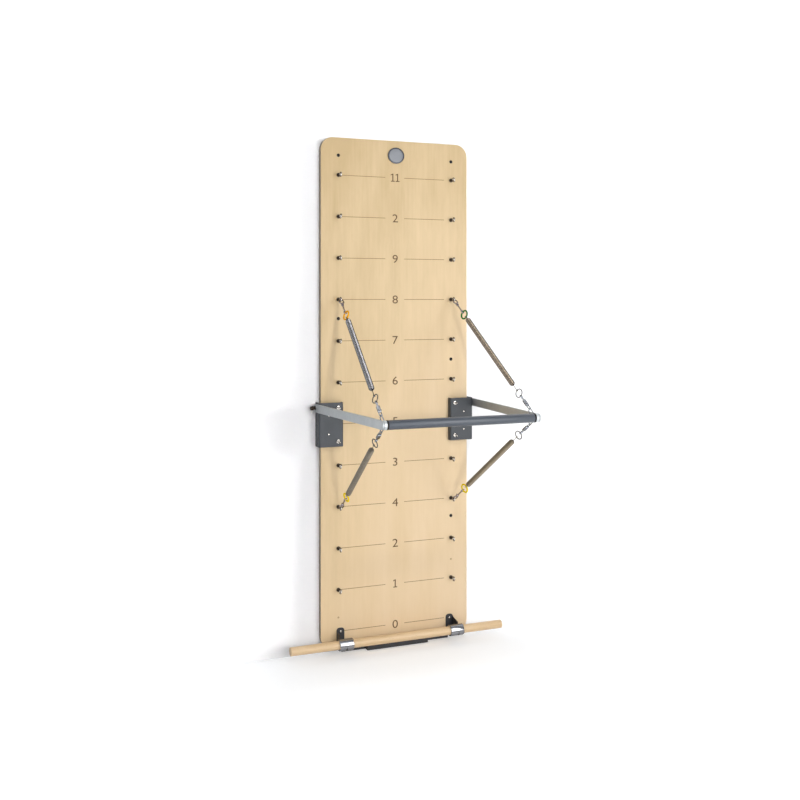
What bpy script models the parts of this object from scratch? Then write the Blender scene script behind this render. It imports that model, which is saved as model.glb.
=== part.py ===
"""A wall-mounted exercise springboard.

A board with two columns of eyebolts carries a swinging push bar, four coil springs that pull on
the bar, and a foot dowel at the bottom. X points right, Y into the wall and Z up, in metres.
The origin is the centre of the board's back, which lies on the wall at Y = 0. Depths are
distances in front of the wall.
"""

import math

import bmesh
import bpy
from mathutils import Matrix, Vector

SEAT_GAP = 0.0003

# Board and its rows of fixings, counted from 0 at the bottom
BOARD_WIDTH = 0.630
BOARD_HEIGHT = 2.000
BOARD_THICKNESS = 0.022
BOARD_CORNER_RADIUS = 0.050
LOWEST_ROW_ABOVE_EDGE = 0.065
TOP_ROW_BELOW_EDGE = 0.1475
TOP_ROW = 11
FIXING_INSET = 0.072
EYEBOLT_ROWS = (1, 2, 3, 4, 6, 7, 8, 9, 10, 11)
PLATE_ROW = 5
SPRING_ROWS = {"upper": 8, "lower": 3}

# Eyebolts
EYE_MEAN_RADIUS = 0.0076
EYE_WIRE_RADIUS = 0.0025
EYE_REACH = 0.028
EYE_TURN_SPREAD = math.radians(12)
EYE_TURN_STEP = 2.1
EYEBOLT_BASE_RADIUS = 0.0080
EYEBOLT_BASE_THICKNESS = 0.0060
EYEBOLT_NECK_RADIUS = 0.0022
EYEBOLT_SHANK_RADIUS = 0.0030
EYEBOLT_SHANK_SETBACK = 0.0020
BOLT_HOLE_CLEARANCE = 0.0005
DRILL_OVERRUN = 0.001

# Folded plates that carry the arms
PLATE_WIDTH = 0.100
PLATE_HEIGHT = 0.172
PLATE_DEPTH = 0.024
PLATE_SHEET = 0.004
PLATE_BEND_RADIUS = 0.006
PLATE_EDGE_CLEARANCE = 0.011
PLATE_HOLE_RADIUS = 0.003
PLATE_HOLE_DROPS = (0.0025, 0.0725)
PLATE_HOLE_DEPTH = 0.025

# Pivots of the arms
PIVOT_ABOVE_ROW = 0.066
PIVOT_REACH = 0.005
PIVOT_SHANK_RADIUS = 0.005
PIVOT_NUT_RADIUS = 0.009
PIVOT_NUT_THICKNESS = 0.007
PIVOT_WASHER_RADIUS = 0.009
PIVOT_WASHER_THICKNESS = 0.0025
PIVOT_NECK_RADIUS = 0.006
PIVOT_NECK_LENGTH = 0.003
PIVOT_KNOB_RADIUS = 0.0088
PIVOT_KNOB_LENGTH = 0.0075
PIVOT_WAIST_RADIUS = 0.0064
PIVOT_TIP_RADIUS = 0.0078
PIVOT_TIP_LENGTH = 0.006
PIVOT_KNOB_EDGE = 0.0012

# Arms and push bar
ARM_LENGTH = 0.610
ARM_HEIGHT = 0.031
ARM_THICKNESS = 0.008
ARM_PLATE_CLEARANCE = 0.002
ARM_REAR_STRAIGHT = 0.040
ARM_FRONT_STRAIGHT = 0.045
TUBE_LENGTH = 0.5684
TUBE_RADIUS = 0.0165
TUBE_WALL = 0.0025
COLLAR_LENGTH = 0.0087
COLLAR_CHAMFER = 0.0012

# Links on the collars, which the spring hooks grip
LINK_WIRE_RADIUS = 0.0019
LINK_REACH = 0.036
LINK_INNER_WIDTH = 0.0150
LINK_CORNER_RADIUS = 0.0050
LINK_SHIFTS = {"upper": -0.0044, "lower": 0.0048}
LINK_ROOT_DEPTH = 0.0085
LINK_INSET = 0.0020

# Wall-side hooks: a closed loop, a barrel with a collar, and a swivel eye
LOOP_WIRE_RADIUS = 0.0023
LOOP_HALF_WIDTH = 0.0085
LOOP_STRAIGHT = 0.0080
WALL_HOOK_LENGTH = 0.0846
BARREL_RADIUS = 0.0055
BARREL_LENGTH = 0.013
STEM_RADIUS = 0.0030
SWIVEL_COLLAR_RADIUS = 0.0045
SWIVEL_COLLAR_LENGTH = 0.005
WALL_SWIVEL_RADIUS = 0.0060
WALL_SWIVEL_WIRE_RADIUS = 0.0016

# Bar-side hooks: a swivel eye, a body and an open jaw that the gate closes
JAW_WIRE_RADIUS = 0.0019
JAW_HALF_WIDTH = 0.0046
JAW_LENGTH = 0.0200
JAW_TIP_LENGTH = 0.0030
BODY_HALF_WIDTH = 0.0065
BODY_HALF_THICKNESS = 0.0040
BODY_LENGTH = 0.032
BODY_TAPER_LENGTH = 0.004
BODY_TAPER_HALF_WIDTH = 0.0040
BAR_HOOK_LENGTH = 0.072
BAR_SWIVEL_RADIUS = 0.0050
BAR_SWIVEL_WIRE_RADIUS = 0.0015
GATE_HALF_WIDTH = 0.0014
GATE_LENGTH = 0.030
GATE_TRAVEL = 0.006
GATE_KNOB_BACK = 0.021
GATE_KNOB_LENGTH = 0.004
GATE_KNOB_HEIGHT = 0.0032
GATE_KNOB_HALF_WIDTH = 0.00112
GATE_GROOVE_SPARE = 0.0010

# Rings at both ends of each spring
COLOUR_RING_RADIUS = 0.0165
COLOUR_RING_WIRE_RADIUS = 0.0025
PLAIN_RING_RADIUS = 0.0155
PLAIN_RING_WIRE_RADIUS = 0.0015
RING_ROLLS = {"upper": math.radians(70), "lower": math.radians(-70)}

# Coil springs
COIL_RADIUS = 0.0092
COIL_WIRE_RADIUS = 0.0015
COIL_CURLS = 14
COIL_POINTS_PER_CURL = 8
COIL_WALL_LEAD = 0.0085
COIL_BAR_LEAD = 0.0290
COIL_STRAIGHT_END = 2 * COIL_WIRE_RADIUS

# Foot dowel with its clamps and brackets
DOWEL_RADIUS = 0.0165
DOWEL_LEFT_OVERHANG = 0.142
DOWEL_RIGHT_OVERHANG = 0.124
DOWEL_CHAMFER = 0.002
DOWEL_REACH = 0.064
DOWEL_BELOW_ROW = 0.033
CLAMP_INSET = 0.080
CLAMP_WIDTH = 0.057
CLAMP_WALL = 0.0057
CLAMP_CHAMFER = 0.0015
BRACKET_WIDTH = 0.032
BRACKET_SHEET = 0.003
BRACKET_RISE = 0.047
BRACKET_DROP = 0.024
BRACKET_TOP_RADIUS = 0.012
BRACKET_SHOULDER_DEPTH = 0.005
BRACKET_FLANGE_REACH = 0.050
BRACKET_FLANGE_RISE = 0.026

# Base under the board
BASE_WIDTH = 0.460
BASE_HEIGHT = 0.0177
FOOT_WIDTH = 0.260
FOOT_REACH = 0.024

# Facets of round shapes: around the axis, around a ring, and along a quarter or half bend
WIRE_SIDES = 6
TURNED_SIDES = 24
SMALL_TURNED_SIDES = 8
PIVOT_SIDES = 12
PIVOT_HOLE_SIDES = 16
EYE_SIDES = 12
SWIVEL_SIDES = 10
SPRING_RING_SIDES = 14
BOARD_CORNER_STEPS = 8
PLATE_BEND_STEPS = 4
PLATE_INNER_BEND_STEPS = 2
ARM_END_STEPS = 10
LINK_CORNER_STEPS = 4
LOOP_END_STEPS = 6
JAW_STEPS = 6
BRACKET_CORNER_STEPS = 5

SIDES = {"left": -1, "right": 1}

ROW_SPAN = BOARD_HEIGHT - LOWEST_ROW_ABOVE_EDGE - TOP_ROW_BELOW_EDGE
ROW_PITCH = ROW_SPAN / TOP_ROW
FIXING_X = BOARD_WIDTH / 2 - FIXING_INSET
BOARD_FACE = BOARD_THICKNESS
DOWEL_Z = -BOARD_HEIGHT / 2 + LOWEST_ROW_ABOVE_EDGE - DOWEL_BELOW_ROW
DOWEL_DEPTH = BOARD_FACE + DOWEL_REACH
DOWEL_LEFT_END = -BOARD_WIDTH / 2 - DOWEL_LEFT_OVERHANG
DOWEL_RIGHT_END = BOARD_WIDTH / 2 + DOWEL_RIGHT_OVERHANG
CLAMP_X = BOARD_WIDTH / 2 - CLAMP_INSET
CLAMP_INNER_RADIUS = DOWEL_RADIUS + SEAT_GAP
CLAMP_RADIUS = CLAMP_INNER_RADIUS + CLAMP_WALL
PLATE_OUTER_X = BOARD_WIDTH / 2 + PLATE_EDGE_CLEARANCE + PLATE_SHEET
PIVOT_HOLE_RADIUS = PIVOT_SHANK_RADIUS + BOLT_HOLE_CLEARANCE
PIVOT_DEPTH = BOARD_FACE + PIVOT_REACH
BAR_DEPTH = PIVOT_DEPTH + ARM_LENGTH
ARM_REAR_X = PLATE_OUTER_X + ARM_PLATE_CLEARANCE
COLLAR_X = TUBE_LENGTH / 2 + SEAT_GAP
ARM_FRONT_X = COLLAR_X + COLLAR_LENGTH + SEAT_GAP
LINK_X = COLLAR_X + LINK_INSET


def row_height(row):
    """Height of a row of fixings, from the board's centre."""
    return -BOARD_HEIGHT / 2 + LOWEST_ROW_ABOVE_EDGE + row * ROW_PITCH


PIVOT_Z = row_height(PLATE_ROW) + PIVOT_ABOVE_ROW


# Helpers


def clear_objects():
    """Removes whatever the file already holds."""
    for item in list(bpy.data.objects):
        bpy.data.objects.remove(item)


def at(x, depth, z):
    """A point from its distance in front of the wall."""
    return Vector((x, -depth, z))


def material(name, color, roughness, metallic):
    """A plain Principled material."""
    made = bpy.data.materials.new(name)
    made.use_nodes = True
    shader = made.node_tree.nodes["Principled BSDF"]
    shader.inputs["Base Color"].default_value = (*color, 1.0)
    shader.inputs["Roughness"].default_value = roughness
    shader.inputs["Metallic"].default_value = metallic
    return made


def shape(bm):
    """Turns a bmesh into a mesh whose faces point out."""
    bmesh.ops.recalc_face_normals(bm, faces=bm.faces)
    mesh = bpy.data.meshes.new("shape")
    bm.to_mesh(mesh)
    bm.free()
    return mesh


def combined(base, others, operation):
    """Joins the other meshes to the base, or cuts them from it."""
    body = bpy.data.objects.new("base", base)
    bpy.context.scene.collection.objects.link(body)
    tools = []
    for other in others:
        tool = bpy.data.objects.new("tool", other)
        bpy.context.scene.collection.objects.link(tool)
        modifier = body.modifiers.new("combine", "BOOLEAN")
        modifier.operation = operation
        modifier.object = tool
        tools.append(tool)
    bpy.context.view_layer.update()
    depsgraph = bpy.context.evaluated_depsgraph_get()
    result = bpy.data.meshes.new_from_object(body.evaluated_get(depsgraph))
    for item in (body, *tools):
        bpy.data.objects.remove(item)
    return result


def joined(base, *others):
    """The base and the others as one solid."""
    return combined(base, others, "UNION")


def cut(base, *others):
    """The base without what the others cover."""
    return combined(base, others, "DIFFERENCE")


def piece(name, mesh, finish, parent=None, location=(0, 0, 0)):
    """Adds one named piece of the model."""
    item = bpy.data.objects.new(name, mesh)
    bpy.context.scene.collection.objects.link(item)
    mesh.shade_smooth()
    mesh.set_sharp_from_angle(angle=math.radians(35))
    if not mesh.materials:
        mesh.materials.append(finish)
    item.parent = parent
    item.location = location
    return item


def empty(name, placement):
    """A guide that carries moving pieces."""
    guide = bpy.data.objects.new(name, None)
    bpy.context.scene.collection.objects.link(guide)
    guide.matrix_world = placement
    bpy.context.view_layer.update()
    return guide


def arc(centre, radius, start, end, steps):
    """Points on a circle, angles in degrees, both ends included."""
    points = []
    for step in range(steps + 1):
        angle = math.radians(start + (end - start) * step / steps)
        u = centre[0] + radius * math.cos(angle)
        v = centre[1] + radius * math.sin(angle)
        points.append((u, v))
    return points


def rounded_rectangle(width, height, radius, steps):
    """Outline of a rectangle with round corners, centred on the origin."""
    u = width / 2 - radius
    v = height / 2 - radius
    corners = ((u, v, 0), (-u, v, 90), (-u, -v, 180), (u, -v, 270))
    outline = []
    for x, z, start in corners:
        outline += arc((x, z), radius, start, start + 90, steps)
    return outline


def prism(outline, low, high, place):
    """Extrudes an outline of (u, v) points from low to high. place gives the model's point."""
    bm = bmesh.new()
    ends = []
    for height in (low, high):
        ends.append([bm.verts.new(place(u, v, height)) for u, v in outline])
    bm.faces.new(ends[0])
    bm.faces.new(ends[1])
    for k in range(len(outline)):
        after = (k + 1) % len(outline)
        bm.faces.new((ends[0][k], ends[0][after], ends[1][after], ends[1][k]))
    return bm


def turned(profile, sides, place, closed=False):
    """Turns (radius, height) points about an axis. place gives the model's point."""
    bm = bmesh.new()
    rings = []
    for radius, height in profile:
        if radius == 0:
            rings.append([bm.verts.new(place(0, 0, height))])
            continue
        ring = []
        for k in range(sides):
            angle = 2 * math.pi * k / sides
            ring.append(bm.verts.new(place(radius * math.cos(angle), radius * math.sin(angle), height)))
        rings.append(ring)
    pairs = list(zip(rings, rings[1:]))
    if closed:
        pairs.append((rings[-1], rings[0]))
    for first, second in pairs:
        for k in range(sides):
            after = (k + 1) % sides
            corners = [first[k % len(first)], first[after % len(first)]]
            corners += [second[after % len(second)], second[k % len(second)]]
            bm.faces.new(list(dict.fromkeys(corners)))
    return bm


def swept(points, flanks, radius, sides, closed=False):
    """A round wire along the points. Each flank is a direction that is square to the wire there."""
    bm = bmesh.new()
    count = len(points)
    rings = []
    for k in range(count):
        before = points[k - 1] if closed or k else points[0]
        after = points[(k + 1) % count] if closed or k < count - 1 else points[-1]
        along = (after - before).normalized()
        across = flanks[k] - flanks[k].dot(along) * along
        across.normalize()
        up = along.cross(across)
        ring = []
        for side in range(sides):
            angle = 2 * math.pi * side / sides
            offset = math.cos(angle) * across + math.sin(angle) * up
            ring.append(bm.verts.new(points[k] + radius * offset))
        rings.append(ring)
    pairs = list(zip(rings, rings[1:]))
    if closed:
        pairs.append((rings[-1], rings[0]))
    else:
        bm.faces.new(rings[0])
        bm.faces.new(rings[-1])
    for first, second in pairs:
        for k in range(sides):
            after = (k + 1) % sides
            bm.faces.new((first[k], first[after], second[after], second[k]))
    return bm


def wire(outline, plane, radius, closed=False):
    """A wire along flat (u, v) points. plane gives the origin, the two directions and the normal."""
    origin, u_axis, v_axis = plane
    normal = u_axis.cross(v_axis)
    points = [origin + u * u_axis + v * v_axis for u, v in outline]
    return swept(points, [normal] * len(points), radius, WIRE_SIDES, closed)


def along_x(side):
    """Places turned shapes on an axis that points out along X."""
    return lambda u, v, height: Vector((side * height, u, v))


# Board and eyebolts


def eye_turn(row, side):
    """Free eyes stand at slightly different angles. Those that hold a spring stand upright."""
    if row in SPRING_ROWS.values():
        return 0.0
    return EYE_TURN_SPREAD * math.sin(EYE_TURN_STEP * row + side)


def board(finish):
    """A slab with round corners and a hole for each eyebolt."""
    outline = rounded_rectangle(BOARD_WIDTH, BOARD_HEIGHT, BOARD_CORNER_RADIUS, BOARD_CORNER_STEPS)
    slab = shape(prism(outline, 0, BOARD_THICKNESS, lambda u, v, h: at(u, h, v)))
    hole_radius = EYEBOLT_SHANK_RADIUS + BOLT_HOLE_CLEARANCE
    holes = []
    for row in EYEBOLT_ROWS:
        for side in SIDES.values():
            centre = (side * FIXING_X, row_height(row))
            circle = arc(centre, hole_radius, 0, 360, SMALL_TURNED_SIDES)[:-1]
            end = BOARD_THICKNESS + DRILL_OVERRUN
            drill = prism(circle, -DRILL_OVERRUN, end, lambda u, v, h: at(u, h, v))
            holes.append(shape(drill))
    piece("board", cut(slab, *holes), finish)


def eyebolt_mesh():
    """Shank, nut face, neck and eye. The eye's centre is at the mesh's origin, its axis along X."""
    face = BOARD_FACE - (BOARD_FACE + EYE_REACH)
    back = EYEBOLT_SHANK_SETBACK - (BOARD_FACE + EYE_REACH)
    base = face + SEAT_GAP
    top = base + EYEBOLT_BASE_THICKNESS
    profile = [
        (0, back),
        (EYEBOLT_SHANK_RADIUS, back),
        (EYEBOLT_SHANK_RADIUS, base),
        (EYEBOLT_BASE_RADIUS, base),
        (EYEBOLT_BASE_RADIUS, top),
        (EYEBOLT_NECK_RADIUS, top),
        (EYEBOLT_NECK_RADIUS, -EYE_MEAN_RADIUS),
        (0, -EYE_MEAN_RADIUS),
    ]
    stem = shape(turned(profile, SMALL_TURNED_SIDES, lambda u, v, h: at(u, h, v)))
    plane = (Vector(), Vector((0, 1, 0)), Vector((0, 0, 1)))
    ring = arc((0, 0), EYE_MEAN_RADIUS, 0, 360, EYE_SIDES)[:-1]
    return joined(stem, shape(wire(ring, plane, EYE_WIRE_RADIUS, closed=True)))


def eyebolts(finish):
    """One eyebolt for each hole of the board."""
    mesh = eyebolt_mesh()
    for row in EYEBOLT_ROWS:
        for name, side in SIDES.items():
            spot = at(side * FIXING_X, BOARD_FACE + EYE_REACH, row_height(row))
            bolt = piece(f"eyebolt_{name}_{row:02d}", mesh, finish, location=spot)
            bolt.rotation_euler = (0, eye_turn(row, side), 0)


# Plates, pivots and the push bar


def arm_plate(name, side, finish):
    """A folded channel: short flange on the board, web in front, long flange beside the board's edge."""
    left = PLATE_OUTER_X - PLATE_WIDTH
    right = PLATE_OUTER_X
    front = BOARD_FACE + PLATE_DEPTH
    bend = PLATE_BEND_RADIUS
    inner_bend = bend - PLATE_SHEET
    outline = [(left, BOARD_FACE + SEAT_GAP)]
    outline += arc((left + bend, front - bend), bend, 180, 90, PLATE_BEND_STEPS)
    outline += arc((right - bend, front - bend), bend, 90, 0, PLATE_BEND_STEPS)
    outline += [(right, SEAT_GAP), (right - PLATE_SHEET, SEAT_GAP)]
    steps = PLATE_INNER_BEND_STEPS
    outline += arc((right - bend, front - bend), inner_bend, 0, 90, steps)
    outline += arc((left + bend, front - bend), inner_bend, 90, 180, steps)
    outline += [(left + PLATE_SHEET, BOARD_FACE + SEAT_GAP)]
    middle = row_height(PLATE_ROW)
    low = middle - PLATE_HEIGHT / 2
    high = middle + PLATE_HEIGHT / 2
    channel = shape(prism(outline, low, high, lambda u, v, h: at(side * u, v, h)))
    holes = [(PIVOT_DEPTH, PIVOT_Z, PIVOT_HOLE_RADIUS, PIVOT_HOLE_SIDES)]
    for drop in PLATE_HOLE_DROPS:
        holes.append((PLATE_HOLE_DEPTH, middle - drop, PLATE_HOLE_RADIUS, SMALL_TURNED_SIDES))
    drills = []
    for depth, z, radius, sides in holes:
        circle = arc((depth, z), radius, 0, 360, sides)[:-1]
        start = right - PLATE_SHEET - DRILL_OVERRUN
        end = right + DRILL_OVERRUN
        drills.append(shape(prism(circle, start, end, lambda u, v, h: at(side * h, u, v))))
    piece(f"arm_plate_{name}", cut(channel, *drills), finish)


def pivot_bolt(name, side, finish):
    """Nut, shank with a spacer collar, washer, and a waisted knob outside the arm."""
    flange_in = PLATE_OUTER_X - PLATE_SHEET
    spacer_start = PLATE_OUTER_X + SEAT_GAP
    spacer_end = ARM_REAR_X - SEAT_GAP
    washer_start = ARM_REAR_X + ARM_THICKNESS + SEAT_GAP
    washer_end = washer_start + PIVOT_WASHER_THICKNESS
    knob_start = washer_end + PIVOT_NECK_LENGTH
    knob_end = knob_start + PIVOT_KNOB_LENGTH
    tip_end = knob_end + PIVOT_TIP_LENGTH
    edge = PIVOT_KNOB_EDGE
    profile = [
        (0, flange_in - SEAT_GAP - PIVOT_NUT_THICKNESS),
        (PIVOT_NUT_RADIUS, flange_in - SEAT_GAP - PIVOT_NUT_THICKNESS),
        (PIVOT_NUT_RADIUS, flange_in - SEAT_GAP),
        (PIVOT_SHANK_RADIUS, flange_in - SEAT_GAP),
        (PIVOT_SHANK_RADIUS, spacer_start),
        (PIVOT_WASHER_RADIUS, spacer_start),
        (PIVOT_WASHER_RADIUS, spacer_end),
        (PIVOT_SHANK_RADIUS, spacer_end),
        (PIVOT_SHANK_RADIUS, washer_start),
        (PIVOT_WASHER_RADIUS, washer_start),
        (PIVOT_WASHER_RADIUS, washer_end),
        (PIVOT_NECK_RADIUS, washer_end),
        (PIVOT_NECK_RADIUS, knob_start),
        (PIVOT_KNOB_RADIUS, knob_start + edge),
        (PIVOT_KNOB_RADIUS, knob_end - edge),
        (PIVOT_WAIST_RADIUS, knob_end),
        (PIVOT_TIP_RADIUS, knob_end + edge),
        (PIVOT_TIP_RADIUS, tip_end - edge),
        (PIVOT_WAIST_RADIUS, tip_end),
        (0, tip_end),
    ]
    mesh = shape(turned(profile, PIVOT_SIDES, along_x(side)))
    piece(f"pivot_bolt_{name}", mesh, finish, location=at(0, PIVOT_DEPTH, PIVOT_Z))


def arm_inner_face(reach):
    """Distance of the arm's inner face from the middle, at a reach in front of the pivot."""
    start = ARM_REAR_STRAIGHT
    end = ARM_LENGTH - ARM_FRONT_STRAIGHT
    share = min(max((reach - start) / (end - start), 0.0), 1.0)
    return ARM_REAR_X + (ARM_FRONT_X - ARM_REAR_X) * share


def arm(name, side, finish, swing):
    """A flat bar with round ends, bent inwards to the bar."""
    radius = ARM_HEIGHT / 2
    outline = arc((0, 0), radius, 90, 270, ARM_END_STEPS)
    outline += arc((ARM_LENGTH, 0), radius, -90, 90, ARM_END_STEPS)
    bm = prism(outline, 0, ARM_THICKNESS, lambda u, v, h: at(h, u, v))
    for bend in (ARM_REAR_STRAIGHT, ARM_LENGTH - ARM_FRONT_STRAIGHT):
        everything = bm.verts[:] + bm.edges[:] + bm.faces[:]
        bmesh.ops.bisect_plane(bm, geom=everything, plane_co=at(0, bend, 0), plane_no=(0, 1, 0))
    for vert in bm.verts:
        vert.co.x = side * (vert.co.x + arm_inner_face(-vert.co.y))
    circle = arc((0, 0), PIVOT_HOLE_RADIUS, 0, 360, PIVOT_HOLE_SIDES)[:-1]
    start = ARM_REAR_X - DRILL_OVERRUN
    end = ARM_REAR_X + ARM_THICKNESS + DRILL_OVERRUN
    drill = prism(circle, start, end, lambda u, v, h: at(side * h, u, v))
    piece(f"arm_{name}", cut(shape(bm), shape(drill)), finish, parent=swing)


def push_tube(finish, swing):
    """An open tube, closed at both ends by the collars."""
    half = TUBE_LENGTH / 2
    inner = TUBE_RADIUS - TUBE_WALL
    profile = [(TUBE_RADIUS, -half), (TUBE_RADIUS, half), (inner, half), (inner, -half)]
    mesh = shape(turned(profile, TURNED_SIDES, along_x(1), closed=True))
    piece("push_tube", mesh, finish, parent=swing, location=at(0, ARM_LENGTH, 0))


def end_cap(name, side, finish, swing):
    """A collar between tube and arm, with one link for the upper and one for the lower spring."""
    end = COLLAR_X + COLLAR_LENGTH
    profile = [
        (0, COLLAR_X),
        (TUBE_RADIUS, COLLAR_X),
        (TUBE_RADIUS, end - COLLAR_CHAMFER),
        (TUBE_RADIUS - COLLAR_CHAMFER, end),
        (0, end),
    ]
    collar = shape(turned(profile, TURNED_SIDES, along_x(side)))
    links = []
    for level in SPRING_ROWS:
        back, up = chain_directions(level)
        half = LINK_INNER_WIDTH / 2 + LINK_WIRE_RADIUS
        far = TUBE_RADIUS + LINK_REACH - LINK_WIRE_RADIUS
        near = TUBE_RADIUS - LINK_ROOT_DEPTH
        bend = LINK_CORNER_RADIUS
        shift = LINK_SHIFTS[level]
        outline = [(near, shift - half)]
        low = (far - bend, shift - half + bend)
        high = (far - bend, shift + half - bend)
        outline += arc(low, bend, -90, 0, LINK_CORNER_STEPS)
        outline += arc(high, bend, 0, 90, LINK_CORNER_STEPS)
        outline += [(near, shift + half)]
        plane = (Vector((side * LINK_X, 0, 0)), back, up)
        links.append(shape(wire(outline, plane, LINK_WIRE_RADIUS)))
    spot = at(0, ARM_LENGTH, 0)
    piece(f"end_cap_{name}", joined(collar, *links), finish, parent=swing, location=spot)


# Spring chains


def chain_directions(level):
    """In the plane across X: from the bar back along the spring, and square to it on the upper side."""
    eye = at(0, BOARD_FACE + EYE_REACH, row_height(SPRING_ROWS[level]))
    bar = at(0, BAR_DEPTH, PIVOT_Z)
    back = (eye - bar).normalized()
    up = Vector((1, 0, 0)).cross(back)
    return back, up


def chain_placement(level, side):
    """Frame of a spring chain, and its length up to the link's wire.

    The origin is the eyebolt's eye. Z runs along the chain to the link, Y is square to it on the
    upper side and X points right.
    """
    eye = at(side * FIXING_X, BOARD_FACE + EYE_REACH, row_height(SPRING_ROWS[level]))
    back, up = chain_directions(level)
    far = TUBE_RADIUS + LINK_REACH - LINK_WIRE_RADIUS
    target = at(side * LINK_X, BAR_DEPTH, PIVOT_Z) + far * back
    along = (target - eye).normalized()
    across = up.cross(along)
    frame = Matrix((across, up, along)).transposed().to_4x4()
    frame.translation = eye
    return frame, (target - eye).length


def rolled(roll, quarter_turn):
    """The plane of a ring, or of the swivel eye that holds it a quarter turn away."""
    angle = roll + (math.pi / 2 if quarter_turn else 0)
    return Vector((math.cos(angle), math.sin(angle), 0)), Vector((0, 0, 1))


def swivel_eye(centre, radius, wire_radius, roll):
    """A small eye that stands square to the ring through it."""
    across, along = rolled(roll, quarter_turn=True)
    ring = arc((0, 0), radius, 0, 360, SWIVEL_SIDES)[:-1]
    plane = (Vector((0, 0, centre)), across, along)
    return shape(wire(ring, plane, wire_radius, closed=True))


def wall_hook(name, roll, finish, chain):
    """Loop through the eyebolt, barrel, stem, collar and swivel eye."""
    loop_near = EYE_MEAN_RADIUS - EYE_WIRE_RADIUS - SEAT_GAP - LOOP_WIRE_RADIUS
    near_centre = loop_near + LOOP_HALF_WIDTH
    far_centre = near_centre + LOOP_STRAIGHT
    loop_far = far_centre + LOOP_HALF_WIDTH
    outline = arc((0, far_centre), LOOP_HALF_WIDTH, 0, 180, LOOP_END_STEPS)
    outline += arc((0, near_centre), LOOP_HALF_WIDTH, 180, 360, LOOP_END_STEPS)
    plane = (Vector(), Vector((1, 0, 0)), Vector((0, 0, 1)))
    loop = shape(wire(outline, plane, LOOP_WIRE_RADIUS, closed=True))
    eye_centre = loop_near + WALL_HOOK_LENGTH
    start = loop_far - LOOP_WIRE_RADIUS / 2
    end = eye_centre - WALL_SWIVEL_RADIUS
    collar = end - SWIVEL_COLLAR_LENGTH
    profile = [
        (0, start),
        (BARREL_RADIUS, start + LOOP_WIRE_RADIUS),
        (BARREL_RADIUS, start + BARREL_LENGTH),
        (STEM_RADIUS, start + BARREL_LENGTH + BARREL_RADIUS),
        (STEM_RADIUS, collar),
        (SWIVEL_COLLAR_RADIUS, collar),
        (SWIVEL_COLLAR_RADIUS, end - WALL_SWIVEL_WIRE_RADIUS),
        (0, end),
    ]
    stem = shape(turned(profile, SMALL_TURNED_SIDES, lambda u, v, h: Vector((u, v, h))))
    eye = swivel_eye(eye_centre, WALL_SWIVEL_RADIUS, WALL_SWIVEL_WIRE_RADIUS, roll)
    piece(f"wall_hook_{name}", joined(stem, loop, eye), finish, parent=chain)
    return eye_centre


def spring_ring(name, centre, radius, wire_radius, roll, finish, chain):
    """A closed ring whose plane holds the chain's line."""
    across, along = rolled(roll, quarter_turn=False)
    ring = arc((0, 0), radius, 0, 360, SPRING_RING_SIDES)[:-1]
    mesh = shape(wire(ring, (Vector(), across, along), wire_radius, closed=True))
    piece(name, mesh, finish, parent=chain, location=(0, 0, centre))


def box_between(low, high):
    """A box from its lowest to its highest corner."""
    outline = [(low[0], low[1]), (high[0], low[1]), (high[0], high[1]), (low[0], high[1])]
    return shape(prism(outline, low[2], high[2], lambda u, v, h: Vector((u, v, h))))


def bar_hook(name, side, grip, roll, finish, chain):
    """Swivel eye, body with a groove for the gate, and the jaw that ends at the grip."""
    inward = -side
    front = grip - JAW_LENGTH
    back = front - BODY_LENGTH
    outline = [
        (BODY_HALF_WIDTH, front),
        (BODY_HALF_WIDTH, back + BODY_TAPER_LENGTH),
        (BODY_TAPER_HALF_WIDTH, back),
        (-BODY_TAPER_HALF_WIDTH, back),
        (-BODY_HALF_WIDTH, back + BODY_TAPER_LENGTH),
        (-BODY_HALF_WIDTH, front),
    ]
    half = BODY_HALF_THICKNESS
    body = shape(prism(outline, -half, half, lambda u, v, h: Vector((u, h, v))))
    floor = JAW_HALF_WIDTH - GATE_HALF_WIDTH - SEAT_GAP
    wall = GATE_HALF_WIDTH + SEAT_GAP
    groove_end = gate_front(grip) - GATE_LENGTH - GATE_TRAVEL - GATE_GROOVE_SPARE
    reach = 2 * BODY_HALF_WIDTH
    edges = sorted((inward * floor, inward * reach))
    groove = box_between((edges[0], -wall, groove_end), (edges[1], wall, front + JAW_LENGTH / 4))
    outline = [(-inward * JAW_HALF_WIDTH, front - BODY_TAPER_LENGTH)]
    bend = arc((0, grip - JAW_HALF_WIDTH), JAW_HALF_WIDTH, 180, 0, JAW_STEPS)
    outline += [(-inward * u, v) for u, v in reversed(bend)]
    outline += [(inward * JAW_HALF_WIDTH, grip - JAW_HALF_WIDTH - JAW_TIP_LENGTH)]
    plane = (Vector(), Vector((1, 0, 0)), Vector((0, 0, 1)))
    jaw = shape(wire(outline, plane, JAW_WIRE_RADIUS))
    eye_centre = grip - BAR_HOOK_LENGTH
    start = eye_centre + BAR_SWIVEL_RADIUS
    collar = start + SWIVEL_COLLAR_LENGTH
    profile = [
        (0, start),
        (SWIVEL_COLLAR_RADIUS, start + BAR_SWIVEL_WIRE_RADIUS),
        (SWIVEL_COLLAR_RADIUS, collar),
        (STEM_RADIUS, collar),
        (STEM_RADIUS, back + BODY_TAPER_LENGTH / 2),
        (0, back + BODY_TAPER_LENGTH / 2),
    ]
    stem = shape(turned(profile, SMALL_TURNED_SIDES, lambda u, v, h: Vector((u, v, h))))
    eye = swivel_eye(eye_centre, BAR_SWIVEL_RADIUS, BAR_SWIVEL_WIRE_RADIUS, roll)
    mesh = joined(cut(body, groove), jaw, stem, eye)
    piece(f"bar_hook_{name}", mesh, finish, parent=chain)
    return eye_centre


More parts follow.
